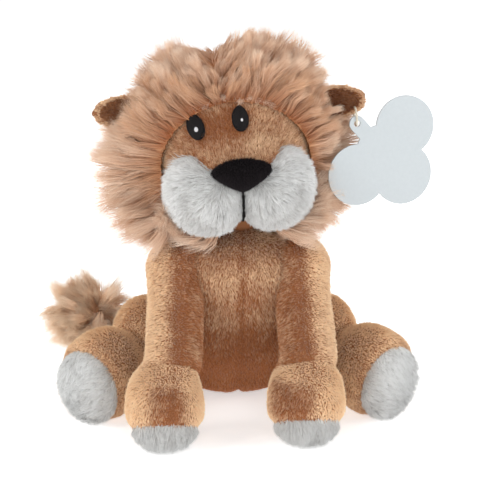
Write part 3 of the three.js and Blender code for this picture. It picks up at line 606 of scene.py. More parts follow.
# Front legs
# Two sleeves of the body's plush, stuffed hard and sewn to the shoulders so that they swing. Each runs
# into a round paw at a seam above the ankle, and has a pad of long white pile sewn in underneath.
SHOULDER_RADIUS = 0.0124
LEG_RADIUS = 0.0112
LEG_SPACING = 0.051
PAW_WIDTH = 0.0305
PAW_LENGTH = 0.033
PAW_HEIGHT = 0.030
PAW_STEP = 0.0018  # how far the right paw stands ahead, and the left one back
ANKLE_OUT = 0.0022
PAD_TILT = math.radians(21)
FLOOR_CUT = 0.0005  # how far the limbs are pressed flat on the floor
LIMB_VOXEL = 0.0019
SLEEVE_SINK = 0.006  # deeper than this in the torso, a sleeve grows no pile
PATCH_HALF = (0.008, 0.0075)  # of the darker patch on the front of a paw: rust pile with painted shade
PATCH_RISE = 0.0185
# The first pair of colours is a shaded copy of the white. Strands mix it in at random, and it carries the
# painted shade of the cheeks and the pads. The second pair is the white itself.
white_pile = pile_finish(
    "white_pile",
    ((0.58, 0.57, 0.555), (0.73, 0.735, 0.73)),
    ((0.82, 0.82, 0.81), (0.95, 0.96, 0.96)),
    sheen=0.15,
    tint=(1, 1, 1),
)
white_backing = cloth_finish("white_backing", (0.66, 0.65, 0.64), (0.52, 0.51, 0.50))
FLUFFY = {"Density": 7e6, "Length": 0.0036, "Width": 0.0003, "Lay": 1.3, "Untidy": 0.55}
FLUFFY |= {"Clump": 0.002, "Pull": 0.4}
# A plush: its slot, the finishes of its backing and its pile, and how its pile grows.
TAN = ("tan_pile", tan_backing, tan_pile, SHORT)
WHITE = ("white_pile", white_backing, white_pile, FLUFFY)

paw_levels = (0.27, 0.42, 0.62, 0.80, 0.90)
paw_girths = (0.46, 0.5, 0.49, 0.455, 0.4)
paw_backs = (0, 0, 0, 0.03, 0.08)
shoulder = Vector((LEG_SPACING / 2 - ANKLE_OUT, -TORSO_LEAN * 1.3, TORSO_HEIGHT * 0.79))
pad_normal = Vector((0, -math.sin(PAD_TILT), -math.cos(PAD_TILT)))


def along(places, start, way):
    """How far places lie past a plane through start, square to way."""
    return (places - np.array(start)) @ np.array(way)


def cover(form, body, *parts, fill=0.7):
    """Cuts a form into panels and grows their pile. Each part gives its node, its mask, where its pile
    shows, its plush and the pile's seed."""
    for node, mask, _, (slot, backing, _, _), _ in parts:
        panel(form, f"{node}_cloth", mask, body, slot, backing, node, fill=fill)
    for node, _, shown, (slot, _, finish, amounts), seed in parts:
        grow_pile(form, f"{node}_pile", shown, body, slot, finish, Seed=seed, **amounts)


for name, side, step, paw_out, patch_shift in (
    ("left", 1, -PAW_STEP, -0.0018, -0.0065),
    ("right", -1, PAW_STEP, 0.0032, 0.001),
):
    body = f"front_leg_{name}"
    top = Vector((side * shoulder.x, shoulder.y, shoulder.z))
    ankle_side = shoulder.x + ANKLE_OUT
    paw = Vector(
        (side * (ankle_side + paw_out), shoulder.y - 0.92 * PAW_LENGTH - step, PAW_HEIGHT / 2 - FLOOR_CUT)
    )
    ankle = Vector((side * ankle_side, paw.y + 0.16 * PAW_LENGTH, 0.88 * PAW_HEIGHT))
    knee = (top + ankle) / 2 + Vector((0, 0.1 * LEG_RADIUS, 0))
    down = (ankle - top).normalized()
    pad_seam = paw - Vector((0, 0, 0.24 * PAW_HEIGHT))
    sleeve = tube(
        [top, (top + knee) / 2, knee, ankle],
        [(r - PILE_RISE, r - PILE_RISE) for r in (SHOULDER_RADIUS, LEG_RADIUS, LEG_RADIUS, LEG_RADIUS)],
        (SHOULDER_RADIUS - PILE_RISE, 0.006),
        steps=24,
    )
    paw_shape = tube(
        [(paw.x, paw.y + PAW_LENGTH * b, PAW_HEIGHT * h) for h, b in zip(paw_levels, paw_backs)],
        [(PAW_WIDTH * g - PILE_RISE, PAW_LENGTH * g - PILE_RISE) for g in paw_girths],
        (PAW_HEIGHT * paw_levels[0] - PILE_RISE, 0.003),
        level=True,
        steps=20,
    )
    on_sleeve = lambda p: along(p, ankle, down) < 0
    below_pad_seam = lambda p: along(p, pad_seam, pad_normal) > 0
    on_pad = lambda p: below_pad_seam(p) & ~on_sleeve(p)
    on_paw = lambda p: ~on_sleeve(p) & ~on_pad(p)

    def off_seam(places):
        """Sideways from the seam down the front of the sleeve."""
        return places[:, 0] - top.x - down.x / down.z * (places[:, 2] - top.z)

    def leg_seams(places):
        past_ankle = along(places, ankle, down)
        axis = np.array(ankle) + np.outer(past_ankle, np.array(down))
        off_axis = np.linalg.norm(places - axis, axis=1)
        cuff = np.hypot(past_ankle, off_axis - LEG_RADIUS + PILE_RISE)
        front = np.where(places[:, 1] < axis[:, 1], np.abs(off_seam(places)), 1)
        pad = np.where(past_ankle > 0, np.abs(along(places, pad_seam, pad_normal)), 1)
        return np.minimum(np.minimum(front, cuff), pad)

    def leg_comb(places, normals):
        """Down the sleeve and away from its seam on both sides, then out and down over the paw."""
        around = unit(np.cross(np.array(down), normals)) * np.sign(off_seam(places))[:, None]
        around = around * np.sign(around[:, :1] * off_seam(places)[:, None] + 1e-9)
        sleeve_way = 0.8 * around + 0.6 * np.array(down)
        paw_way = unit(places - np.array(ankle)) + np.array((0, -0.3, -0.6))
        return np.where(on_sleeve(places)[:, None], sleeve_way, paw_way)

    def leg_tone_and_light(places):
        """Pale outside the seam and down the sides of the paw, the pile's pale tips with a painted
        highlight, and rust beside the seam. The patch on the paw's front is rust with painted shade, and
        the pad gets painted shade.
        """
        outward = off_seam(places) * side
        # A painted highlight, with the pile's pale tips, toward the outer side of the sleeve.
        sleeve_tone = np.clip((outward + 0.0012) / 0.0065, -0.7, 1) * 0.46
        sleeve_tone = sleeve_tone - 0.35 * np.exp(-(((outward + 0.0025) / 0.0025) ** 2))
        across = (places[:, 0] - paw.x - patch_shift) / PATCH_HALF[0]
        patch = across**4 + ((places[:, 2] - PATCH_RISE) / PATCH_HALF[1]) ** 4
        # A painted highlight all over the paw, with painted shade in the patch on its front.
        paw_tone = 0.85 - 1.25 * np.exp(-patch) * (places[:, 1] < paw.y)
        # Painted shade on the pad, which is pushed to the shaded copy of the white.
        paw_tone = np.where(below_pad_seam(places), -0.55, paw_tone)
        return np.where(on_sleeve(places), sleeve_tone, paw_tone)

    leg = sewn_form(
        f"leg_form_{name}", [sleeve, paw_shape], leg_seams, voxel=LIMB_VOXEL, floor=CLOTH_FLOOR
    )
    comb_pile(leg, leg_comb, leg_seams, pale=leg_tone_and_light)
    outside = lambda p: on_sleeve(p) & ~in_torso(p, SLEEVE_SINK)
    cover(
        leg,
        body,
        (f"{body}_sleeve", on_sleeve, outside, TAN, 20 + side),
        (f"front_paw_{name}", on_paw, on_paw, TAN, 24 + side),
        (f"front_pad_{name}", on_pad, lambda p: on_pad(p) & off_floor(p), WHITE, 28 + side),
    )
    bpy.data.objects.remove(leg)


# Hind legs
# Each haunch is a thick round cushion sewn to the side of the seat. A stub of a foot is sewn to its
# front, turned outwards, and closed by a domed sole of long white pile.
HAUNCH_DIAMETER = 0.043
HAUNCH_THICKNESS = 0.036
FOOT_WIDTH = 0.031
FOOT_HEIGHT = 0.0372
FOOT_LENGTH = 0.044
FOOT_GAP = 0.0006
FOOT_AHEAD = 0.023
FOOT_SPLAY = math.radians(36)
SOLE_DROP = math.radians(18)
FOOT_SEAM = 0.0115  # behind the middle of the foot
HIND_VOXEL = LIMB_VOXEL * 1.15
HIP_SINK = 0.005  # deeper than this in the torso, a haunch grows no pile

haunch_stations = (-0.91, -0.7, -0.42, 0, 0.42, 0.7, 0.91)
haunch_girths = (0.58, 0.84, 0.97, 1, 0.97, 0.84, 0.58)
foot_stations = (-0.3, 0, 0.27)
foot_girths = (0.36, 0.5, 0.475)
foot_levels = (0.5, 0.5, 0.475)  # of the line through its middle
for name, side in SIDES:
    body = f"hind_leg_{name}"
    hip = Vector((side * hip_side, hip_back, HAUNCH_DIAMETER / 2 - FLOOR_CUT))
    half, radius = HAUNCH_THICKNESS / 2 - PILE_RISE, HAUNCH_DIAMETER / 2 - PILE_RISE
    haunch = tube(
        [hip + Vector((side * half * s, 0, 0)) for s in haunch_stations],
        [(radius * g, radius * g) for g in haunch_girths],
        (half * 0.09, half * 0.09),
        across=(0, 1, 0),
        steps=24,
    )
    foot_aim = Vector((side * math.sin(FOOT_SPLAY), -math.cos(FOOT_SPLAY), 0))
    foot_side = LEG_SPACING / 2 + LEG_RADIUS + FOOT_GAP + FOOT_WIDTH / 2 * math.cos(FOOT_SPLAY)
    foot = Vector((side * foot_side, hip.y - FOOT_AHEAD, 0))
    foot_line = [foot + foot_aim * FOOT_LENGTH * s for s in foot_stations]
    for point, level in zip(foot_line, foot_levels):
        point.z = FOOT_HEIGHT * level - FLOOR_CUT
    foot_shape = tube(
        foot_line,
        [(FOOT_WIDTH * g - PILE_RISE, FOOT_HEIGHT * g - PILE_RISE) for g in foot_girths],
        (0.2 * FOOT_LENGTH, 0.19 * FOOT_LENGTH - PILE_RISE),
        steps=16,
    )
    sole_seam = foot_line[-1]
    sole_normal = foot_aim * math.cos(SOLE_DROP) - Vector((0, 0, math.sin(SOLE_DROP)))
    on_haunch = lambda p: along(p, foot, foot_aim) < -FOOT_SEAM
    on_sole = lambda p: along(p, sole_seam, sole_normal) > 0
    on_foot = lambda p: ~on_haunch(p) & ~on_sole(p)

    def hind_seams(places):
        cuff = np.abs(along(places, foot, foot_aim) + FOOT_SEAM)
        return np.minimum(cuff, np.abs(along(places, sole_seam, sole_normal)))

    def hind_comb(places, normals):
        """Down and away from the hip, then along the foot."""
        from_hip = unit(places - np.array(hip)) * np.array((0.3, 1, 1)) + np.array((0, -0.2, -0.7))
        return np.where(on_haunch(places)[:, None], from_hip, np.array(foot_aim) + np.array((0, 0, -0.3)))

    def hind_tone_and_light(places):
        """Pale on the outside of the haunch and on the top of the foot: the pile's pale tips with a painted
        highlight where the light falls.
        """
        # A painted highlight, growing outwards on the haunch and upwards on the foot.
        haunch_tone = 0.8 + 12 * (np.abs(places[:, 0]) - hip_side)
        foot_tone = 0.4 + 14 * (places[:, 2] - 0.012)
        return np.clip(np.where(on_haunch(places), haunch_tone, foot_tone), -0.15, 0.8)

    leg = sewn_form(
        f"hind_form_{name}", [haunch, foot_shape], hind_seams, voxel=HIND_VOXEL, floor=CLOTH_FLOOR
    )
    comb_pile(leg, hind_comb, hind_seams, pale=hind_tone_and_light)
    outside = lambda p: on_haunch(p) & off_floor(p) & ~in_torso(p, HIP_SINK)
    cover(
        leg,
        body,
        (f"haunch_{name}", on_haunch, outside, TAN, 32 + side),
        (f"hind_foot_{name}", on_foot, lambda p: on_foot(p) & off_floor(p), TAN, 36 + side),
        (f"hind_sole_{name}", on_sole, lambda p: on_sole(p) & off_floor(p), WHITE, 40 + side),
    )
    bpy.data.objects.remove(leg)


# Tail
# A thin stuffed tube sewn into the back seam. It curls round the lion's right haunch and carries a
# tuft of long pale pile, sewn to its end.
TAIL_RADIUS = 0.0042
TAIL_RISE = 0.0011
TUFT_LENGTH = 0.034
TUFT_THICKNESS = 0.028
TUFT_PILE = 0.0095
TAIL_IN_TUFT = 0.009

tail_root = Vector((0, 0.45 * TORSO_DEPTH, 0.18 * TORSO_HEIGHT))
tail_reach = TORSO_WIDTH / 2 + 0.6 * HAUNCH_THICKNESS
tail_sides = (0, -0.21, -0.55, -0.83, -1)
tail_backs = (0, 0.23, 0.16, -0.16, -0.55)
tail_rises = (0, 0.04, 0.24, 0.52, 0.8)
tail_line = [
    tail_root + Vector((tail_reach * s, TORSO_DEPTH / 2 * b, HAUNCH_DIAMETER / 2 * r))
    for s, b, r in zip(tail_sides, tail_backs, tail_rises)
]
tail_girth = TAIL_RADIUS - TAIL_RISE
tail_shape = tube(tail_line, [(tail_girth, tail_girth)] * 5, (0.003, 0.003), across=(0, 0, 1), around=24)
no_seams = even(1.0)
tail = sewn_form("tail_form", [tail_shape], no_seams, cap=0.0006, smooth=2, voxel=FINE_VOXEL)
tail_runs = spline(tail_line, np.linspace(0, 1, 60))


def tail_comb(places, normals):
    nearest = np.argmin(np.linalg.norm(places[:, None] - tail_runs[None], axis=2), axis=1)
    return np.gradient(tail_runs, axis=0)[nearest]


comb_pile(tail, tail_comb, no_seams)
panel(tail, "tail_cloth", whole, "tail", "tan_pile", tan_backing, "tail_skin", fill=0.8)
tail_end = tail_line[-1]
tail_aim = (tail_end - tail_line[-2]).normalized()
tail_bare = lambda p: along(p, tail_end, tail_aim) < 0
TAIL_PLUSH = {**SHORT, "Length": 0.0022, "Seed": 50}
grow_pile(tail, "tail_pile", tail_bare, "tail", "tan_pile", tan_pile, **TAIL_PLUSH)
bpy.data.objects.remove(tail)

tuft_middle = tail_end + tail_aim * (TUFT_LENGTH / 2 - TAIL_IN_TUFT) + Vector((0.005, 0, -0.004))
tuft_turn = tail_aim.to_track_quat("Y", "Z").to_matrix().to_4x4()
tuft_size = np.array((TUFT_THICKNESS, TUFT_LENGTH, TUFT_THICKNESS)) - 2 * TUFT_PILE
tuft_shape = egg(tuft_middle, tuft_size, turned=tuft_turn)
tuft = sewn_form("tuft_form", [tuft_shape], no_seams, cap=0.0005, smooth=2, voxel=0.0012)
tuft_falls = lambda p, n: unit(p - np.array(tail_end)) * np.array((1, 1, 1.3)) + np.array((-0.45, 0, 0.2))
comb_pile(tuft, tuft_falls, no_seams, pale=even(0.5))
mane_backing = cloth_finish("mane_backing", (0.62, 0.32, 0.17), (0.42, 0.18, 0.08))
panel(tuft, "tuft_core", whole, "tail", "mane_pile", mane_backing, fill=0.6)
LONG = {"Segments": 2, "Length": 0.021, "Width": 0.00034, "Untidy": 0.42, "Pull": 0.62, "Clump": 0.0021}
LONG |= {"Tangle": 1.2, "Shortest": 0.55, "Arch": 0.05, "Curl": 0.13}
TUFT = {**LONG, "Density": 3.1e7, "Length": 0.0175, "Rise": 0.75, "Lay": 0.9}
TUFT |= {"Clump": 0.0015, "Tangle": 1.5}
tuft_finish = pile_finish(
    "tuft_pile",
    ((0.90, 0.43, 0.20), (1.0, 0.71, 0.46)),
    ((1.0, 0.66, 0.41), (1.0, 0.90, 0.77)),
    sheen=0.4,
    rough=0.6,
)
grow_pile(tuft, "tail_tuft_pile", whole, "tail", "mane_pile", tuft_finish, ("tail_tuft",), Seed=52, **TUFT)
bpy.data.objects.remove(tuft)


# Head and muzzle
# One ball of plush stuffed with fibre, on a firm neck that lets it turn and nod. The brown crown runs
# down to the nose as a wedge between two cheeks of long white pile. The mane's cloth hides the rest.
HEAD_WIDTH = 0.062
HEAD_DEPTH = 0.054
HEAD_HEIGHT = 0.058
HEAD_SEAT = 0.026
HEAD_FORWARD = 0.002
HEAD_TURN = math.radians(2)
HEAD_TILT = math.radians(-4.5)
FACE_WIDTH = 0.061
FACE_HEIGHT = 0.053
FACE_RISE = 0.0205
CHEEK_WIDTH = 0.033
CHEEK_DEPTH = 0.045
CHEEK_HEIGHT = 0.033
CHEEK_SPACING = 0.0235
CHEEK_TIP = (0.0205, 0.0300)  # the top of the white, sideways and up
CREASE_MIDDLE = (0.0095, 0.0135)  # of the arc of each smiling crease
CREASE_RADIUS = 0.0105
MUZZLE_FORWARD = 0.021
MUZZLE_RISE = 0.013
MUZZLE_EDGE = -0.006  # where the muzzle's panels end behind
PROUD = 0.0012  # and how far they stand out of the ball
BRIDGE_WIDTH = 0.034
BRIDGE_HEIGHT = 0.026
NOSE_RISE = 0.0214
NOSE_WIDTH = 0.022
NOSE_HEIGHT = 0.0125
NOSE_DEPTH = 0.010
EYE_WIDTH = 0.0070
EYE_HEIGHT = 0.0096
EYE_SPACING = 0.0159
EYE_SHIFT = -0.0059
EYE_RISE = 0.0387
EYE_DROP = 0.0019  # how much lower the right eye is sewn on
HEAD_PLACE = (
    Matrix.Translation(NECK) @ Matrix.Rotation(HEAD_TURN, 4, "Z") @ Matrix.Rotation(HEAD_TILT, 4, "Y")
)
eyes = {
    "left": (EYE_SHIFT + EYE_SPACING / 2, EYE_RISE),
    "right": (EYE_SHIFT - EYE_SPACING / 2, EYE_RISE - EYE_DROP),
}
head_middle = Vector((0, -HEAD_FORWARD, HEAD_SEAT))
head_size = np.array((HEAD_WIDTH, HEAD_DEPTH, HEAD_HEIGHT))
cheek_size = np.array((CHEEK_WIDTH, CHEEK_DEPTH, CHEEK_HEIGHT))
bridge_size = np.array((BRIDGE_WIDTH, CHEEK_DEPTH - NOSE_DEPTH / 2, BRIDGE_HEIGHT))
stop_size = np.array((BRIDGE_WIDTH * 1.3, HEAD_DEPTH * 0.6, HEAD_HEIGHT * 0.42))
wedge_foot = NOSE_RISE - 0.3 * NOSE_HEIGHT
wedge_side = NOSE_RISE + 0.15 * NOSE_HEIGHT
head_eggs = [
    (head_middle, head_size),
    ((0, -MUZZLE_FORWARD, NOSE_RISE), bridge_size),
    ((0, -0.78 * MUZZLE_FORWARD, 0.95 * HEAD_SEAT), stop_size),
    ((CHEEK_SPACING / 2, -MUZZLE_FORWARD, MUZZLE_RISE), cheek_size),
    ((-CHEEK_SPACING / 2, -MUZZLE_FORWARD, MUZZLE_RISE), cheek_size),
]


def on_head(places):
    """Places in the head's own frame, from the neck up."""
    return placed((places, None), HEAD_PLACE.inverted())[0]


def turned_with_head(vectors):
    return vectors @ np.array(HEAD_PLACE.to_3x3()).T


def out_of_egg(own, middle, size):
    """How far places lie off an egg's surface, outwards, about."""
    share = np.linalg.norm((own - np.array(middle)) / (np.array(size) / 2), axis=1)
    return (share - 1) * min(size) / 2


def proud(own):
    """How far places stand out of the head's ball."""
    return out_of_egg(own, head_middle, head_size - 2 * PILE_RISE)


def face_share(own):
    """0 in the middle of the face, and 1 at its edge, where the mane begins."""
    return np.hypot(own[:, 0] / (FACE_WIDTH / 2), (own[:, 2] - FACE_RISE) / (FACE_HEIGHT / 2))


def wedge_half(own):
    """Half the width of the brown wedge at a height on the head."""
    heights = (wedge_foot, wedge_side, CHEEK_TIP[1], CHEEK_TIP[1] + 0.0015)
    return np.interp(own[:, 2], heights, (0, NOSE_WIDTH / 2, CHEEK_TIP[0], 0.05))


def on_cheek(places, side=0):
    """The white of the face, or of its left or right cheek."""
    own = on_head(places)
    beyond_wedge = (np.abs(own[:, 0]) >= wedge_half(own)) | (own[:, 2] <= wedge_foot)
    return beyond_wedge & (proud(own) > PROUD) & (own[:, 1] < MUZZLE_EDGE) & (own[:, 0] * side >= 0)


def on_bridge(places):
    own = on_head(places)
    return (proud(own) > PROUD) & ~on_cheek(places) & (own[:, 1] < MUZZLE_EDGE)


def crease_distance(own):
    """How far places lie from the smiling crease in the cheek."""
    across, upward = np.abs(own[:, 0]) - CREASE_MIDDLE[0], own[:, 2] - CREASE_MIDDLE[1]
    off_arc = np.abs(np.hypot(across, upward) - CREASE_RADIUS)
    past_end = np.maximum(0, upward - 0.001) + np.maximum(0, 0.002 - across)
    return np.where(own[:, 1] < -MUZZLE_FORWARD, np.hypot(off_arc, past_end), 1)


def head_seams(places):
    """Beside the wedge, down the middle below the nose, and in the creases of the cheeks."""
    own = on_head(places)
    beside = np.abs(np.abs(own[:, 0]) - wedge_half(own)) * 0.7
    beside = np.where((own[:, 2] > wedge_foot) & (own[:, 2] < CHEEK_TIP[1] + 0.001), beside, 1)
    middle = np.where(own[:, 2] < wedge_foot, np.abs(own[:, 0]) * 0.8, 1)
    seams = np.minimum(np.minimum(beside, middle), crease_distance(own))
    return np.where((own[:, 1] < -0.012) & (proud(own) > 0.001), seams, 1)


def in_face(places):
    own = on_head(places)
    return (face_share(own) < 1) & (own[:, 1] < -0.004)


def eye_distance(own):
    """How far places on the face lie outside the nearer eye's edge, about."""
    nearest = np.full(len(own), 1.0)
    for x, z in eyes.values():
        share = np.hypot((own[:, 0] - x) / (EYE_WIDTH / 2), (own[:, 2] - z) / (EYE_HEIGHT / 2))
        nearest = np.minimum(nearest, np.where(own[:, 1] < 0, (share - 1) * EYE_WIDTH / 2, 1))
    return nearest


def face_tone_and_light(places):
    """Dark round the eyes and between them, where the pile is pressed down, with painted shade between
    them, and a painted highlight makes the forehead pale. The cheeks get painted shade below and in their
    creases."""
    own = on_head(places)
    round_eyes = np.exp(-((eye_distance(own) / 0.0022) ** 2))
    between_eyes_shade = np.exp(-(((own[:, 0] - EYE_SHIFT) / 0.006) ** 2 + ((own[:, 2] - 0.036) / 0.007) ** 2))
    forehead = np.clip((own[:, 2] - 0.045) / 0.006, 0, 1)
    # Painted shade between the eyes, and a painted highlight on the forehead.
    brown = 0.04 - 0.45 * round_eyes - 0.6 * between_eyes_shade + 0.3 * forehead
    # Painted shade low on the cheeks and in their creases.
    crease = np.exp(-((crease_distance(own) / 0.0016) ** 2))
    white = 0.5 * np.clip((own[:, 2] - 0.012) / 0.012, -1, 0.3) - 1.1 * crease
    return np.where(on_cheek(places), white, brown)


def face_comb(places, normals):
    """Up from the nose, over the forehead and aside at the temples. The cheeks' pile fans out and down."""
    own = on_head(places)
    up = np.stack([own[:, 0] * 25, 0 * own[:, 0], np.full(len(own), 0.8)], axis=1)
    out = np.stack([own[:, 0] * 1.2, 0 * own[:, 0], own[:, 2] - NOSE_RISE], axis=1)
    out = unit(out) + np.array((0, 0.3, -0.5))
    return turned_with_head(np.where(on_cheek(places)[:, None], out, up))


head_shapes = [placed(egg(middle, size - 2 * PILE_RISE), HEAD_PLACE) for middle, size in head_eggs]
head = sewn_form("head_form", head_shapes, head_seams, cap=0.0012, smooth=7, voxel=0.0021)
skin_points = [Vector(p) for p in places_of(head.data)]
skin_tree = BVHTree.FromPolygons(skin_points, [tuple(f.vertices) for f in head.data.polygons])
comb_pile(head, face_comb, head_seams, pale=face_tone_and_light)
at_back = lambda p: ~on_cheek(p) & ~on_bridge(p)
panel(head, "head_cloth", at_back, "head", "tan_pile", tan_backing, "head_skin", fill=0.85)
panel(head, "snout_bridge_cloth", on_bridge, "head", "tan_pile", tan_backing, "snout_bridge")
brown_face = lambda p: in_face(p) & (eye_distance(on_head(p)) > -0.0004) & ~on_cheek(p)
NAPPED = {**SHORT, "Density": 9e6, "Width": 0.00027, "Lay": 0.9, "Untidy": 0.75}
grow_pile(head, "face_pile", brown_face, "head", "tan_pile", tan_pile, Seed=60, **NAPPED)
for name, side in SIDES:
    cheek = lambda p: on_cheek(p, side)
    cover(head, "head", (f"cheek_{name}", cheek, cheek, WHITE, 66 + side))


def on_skin(x, z, rise):
    """The place on the front of the head at this spot of its own frame, lifted off the skin."""
    start = HEAD_PLACE @ Vector((x, -0.1, z))
    place, normal, _, _ = skin_tree.ray_cast(start, HEAD_PLACE.to_3x3() @ Vector((0, 1, 0)))
    return place + normal * rise


# Nose
# A padded triangle of short black pile, sewn over the ends of the bridge and the cheeks.
NOSE_PILE = 0.0007
black_pile = pile_finish(
    "black_pile",
    ((0.004, 0.003, 0.004), (0.010, 0.007, 0.009)),
    ((0.008, 0.006, 0.007), (0.028, 0.020, 0.023)),
    sheen=0.06,
    tint=(0.8, 0.75, 0.8),
)
black_backing = cloth_finish("black_backing", (0.012, 0.009, 0.010), (0.005, 0.004, 0.004))
nose_places, nose_faces = egg((0, 0, 0), (2, 2, 2))
up_share = (nose_places[:, 2] + 1) / 2
nose_places[:, 0] *= 0.34 + 1.22 * np.minimum(up_share, 0.66)
nose_places = nose_places * (np.array((NOSE_WIDTH, NOSE_DEPTH, NOSE_HEIGHT)) / 2 - NOSE_PILE)
nose_places += np.array((0, 0.3 * NOSE_DEPTH - MUZZLE_FORWARD - CHEEK_DEPTH / 2, NOSE_RISE))
nose_shape = placed((nose_places, nose_faces), HEAD_PLACE)
nose = sewn_form("nose_form", [nose_shape], no_seams, cap=0.0004, smooth=2, voxel=FINE_VOXEL)
comb_pile(nose, lambda p, n: turned_with_head(downwards(p, n)), no_seams)
NAP = {"Density": 1.8e7, "Length": 0.0013, "Width": 0.0002, "Lay": 1.0, "Untidy": 0.5}
NAP |= {"Clump": 0.001, "Pull": 0.25}
BLACK = ("black_thread", black_backing, black_pile, NAP)
in_front = lambda p: on_head(p)[:, 1] < -MUZZLE_FORWARD - CHEEK_DEPTH / 2 + 0.6 * NOSE_DEPTH
cover(nose, "head", ("nose", whole, in_front, BLACK, 70), fill=0.8)
bpy.data.objects.remove(nose)


# Mouth and eyes
# Embroidered in satin stitch: threads laid side by side across a patch. The mouth is black and follows
# the seam below the nose. Each eye is a black oval with a small white glint sewn over it.
MOUTH_WIDTH = 0.0015
MOUTH_FOOT = MUZZLE_RISE - 0.34 * CHEEK_HEIGHT
MOUTH_TOP = wedge_foot + 0.001
MOUTH_LIFT = 0.0012  # how far each patch is lifted off the skin
EYE_LIFT = 0.0009
GLINT_LIFT = 0.0018
EYE_EDGE = 0.0009  # how far the outermost threads spread past their patch
GLINT_SIZE = 0.0022
GLINT_SHIFT = 0.0004


def build_satin_tree():
    """Geometry nodes that lay threads side by side across a patch, from its map's left to its right."""
    inputs = {"Geometry": "Geometry", "Threads": 24, "Thickness": 0.0004, "Rise": 0.0002}
    inputs |= {"Crown": 0.0004, "Ragged": 0.05, "Slant": 0.0, "Oval": 1.0, "Seed": 1, "Finish": "Material"}
    tree, wire, given = new_tree("satin", "GeometryNodeTree", inputs, Geometry="Geometry")
    maths = wire.maths
    square_off = lambda value: maths("SUBTRACT", 1.0, maths("MULTIPLY", value, value))
    rows = {"Count": given["Threads"], "Start Location": (0, 0, 0), "Offset": (0, 0, 0)}
    rows = wire("GeometryNodeMeshLine", rows, mode="OFFSET")
    level = maths("DIVIDE", maths("ADD", wire("GeometryNodeInputIndex"), 0.5), given["Threads"])
    level = maths("MULTIPLY_ADD", level, 2.0, -1.0)
    full = maths("SQRT", maths("MAXIMUM", square_off(level), 0.02))
    uneven = {"Min": 0.0, "Max": given["Ragged"], "Seed": given["Seed"]}
    uneven = wire("FunctionNodeRandomValue", uneven)
    half = wire.mix(given["Oval"], 1.0, full, "FLOAT")
    half = maths("MULTIPLY", half, maths("SUBTRACT", 1.0, uneven))
    laid = wire("GeometryNodeSetPosition", {"Geometry": rows, "Position": wire.xyz(0.0, level, 0.0)})
    thread = wire("GeometryNodeCurvePrimitiveLine", {"Start": (-1, 0, 0), "End": (1, 0, 0)})
    thread = wire("GeometryNodeResampleCurve", {"Curve": thread, "Count": 9})
    threads = {"Points": laid, "Instance": thread, "Scale": wire.xyz(half, 1.0, 1.0)}
    flat = wire("GeometryNodeRealizeInstances", [wire("GeometryNodeInstanceOnPoints", threads)])
    here = wire("GeometryNodeInputPosition")
    spot = wire("ShaderNodeSeparateXYZ", [here]).node.outputs
    to_map = lambda value: maths("MULTIPLY_ADD", value, 0.495, 0.5)
    slanted = maths("MULTIPLY_ADD", spot["X"], given["Slant"], spot["Y"])
    place = wire.xyz(to_map(spot["X"]), to_map(slanted), 0.0)
    chart = wire("GeometryNodeInputNamedAttribute", {"Name": "patch"}, data_type="FLOAT_VECTOR")

    def sampled(value):
        feeds = {"Mesh": given["Geometry"], "Value": value, "UV Map": chart, "Sample UV": place}
        return wire("GeometryNodeSampleUVSurface", feeds, data_type="FLOAT_VECTOR")

    surface, normal = sampled(here), sampled(wire("GeometryNodeInputNormal"))
    lift = maths("MULTIPLY_ADD", square_off(spot["X"]), given["Crown"], given["Rise"])
    lifted = wire.vectors("ADD", surface, wire.vectors("SCALE", normal, lift))
    sewn = wire("GeometryNodeSetPosition", {"Geometry": flat, "Position": lifted})
    profile = {"Resolution": 6, "Radius": given["Thickness"]}
    profile = wire("GeometryNodeCurvePrimitiveCircle", profile, mode="RADIUS")
    solid = {"Curve": sewn, "Profile Curve": profile, "Fill Caps": True}
    both = wire("GeometryNodeJoinGeometry").node
    wire.join(wire("GeometryNodeCurveToMesh", solid), both.inputs[0])
    wire.join(given["Geometry"], both.inputs[0])
    real = wire("GeometryNodeRealizeInstances", [both.outputs[0]])
    finished = wire("GeometryNodeSetMaterial", {"Geometry": real, "Material": given["Finish"]})
    wire.join(finished, tree.nodes.new("NodeGroupOutput").inputs[0])
    return tree


satin_tree = build_satin_tree()


def satin(name, node, chart, slot, material, columns=12, rows=12, **amounts):
    """A patch, given by a function of its map, with threads sewn over it."""
    grid = [(2 * i / columns - 1, 2 * j / rows - 1) for j in range(rows + 1) for i in range(columns + 1)]
    places = np.array([on_skin(*chart(u, v)) for u, v in grid])
    corner = lambda i, j: j * (columns + 1) + i
    faces = [
        (corner(i, j), corner(i + 1, j), corner(i + 1, j + 1), corner(i, j + 1))
        for j in range(rows)
        for i in range(columns)
    ]
    patch = new_object(name, places, faces)
    write_attribute(patch.data, "patch", np.array([((u + 1) / 2, (v + 1) / 2, 0) for u, v in grid]))
    apply_tree(patch, satin_tree, {**amounts, "Finish": material})
    settle(patch)
    patch.data.shade_smooth()
    drop_attributes(patch.data, ("patch",))
    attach(patch, "head")
    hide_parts(node)


def grained_finish(name, low, high, grain, rough, bump=None, specular=0.5, kind="ShaderNodeTexNoise"):
    """A material whose tone follows a fine grain from low to high, and its gloss too if rough has two
    values. bump gives its strength, its depth and whether it is turned round."""
    material, wire, shader = new_finish(name, rough[0], specular)
    place = wire("ShaderNodeTexCoord").node.outputs["Object"]
    texture = wire(kind, {"Vector": place, **grain})
    wire.join(wire.mix(texture, (*low, 1), (*high, 1)), shader["Base Color"])
    if len(rough) > 1:
        gloss = wire("ShaderNodeMapRange", {"Value": texture, "To Min": rough[0], "To Max": rough[1]})
        wire.join(gloss, shader["Roughness"])
    if bump:
        height = {"Strength": bump[0], "Distance": bump[1], "Height": texture}
        wire.join(wire("ShaderNodeBump", height, invert=bump[2]), shader["Normal"])
    return material


def thread_finish(name, light, dark):
    """Shiny embroidery thread: fine twisted strands, a little uneven."""
    twist = {"Scale": 2500.0, "Detail": 2.0}
    return grained_finish(name, dark, light, twist, (0.6,), bump=(0.5, 0.0001, False), specular=0.2)


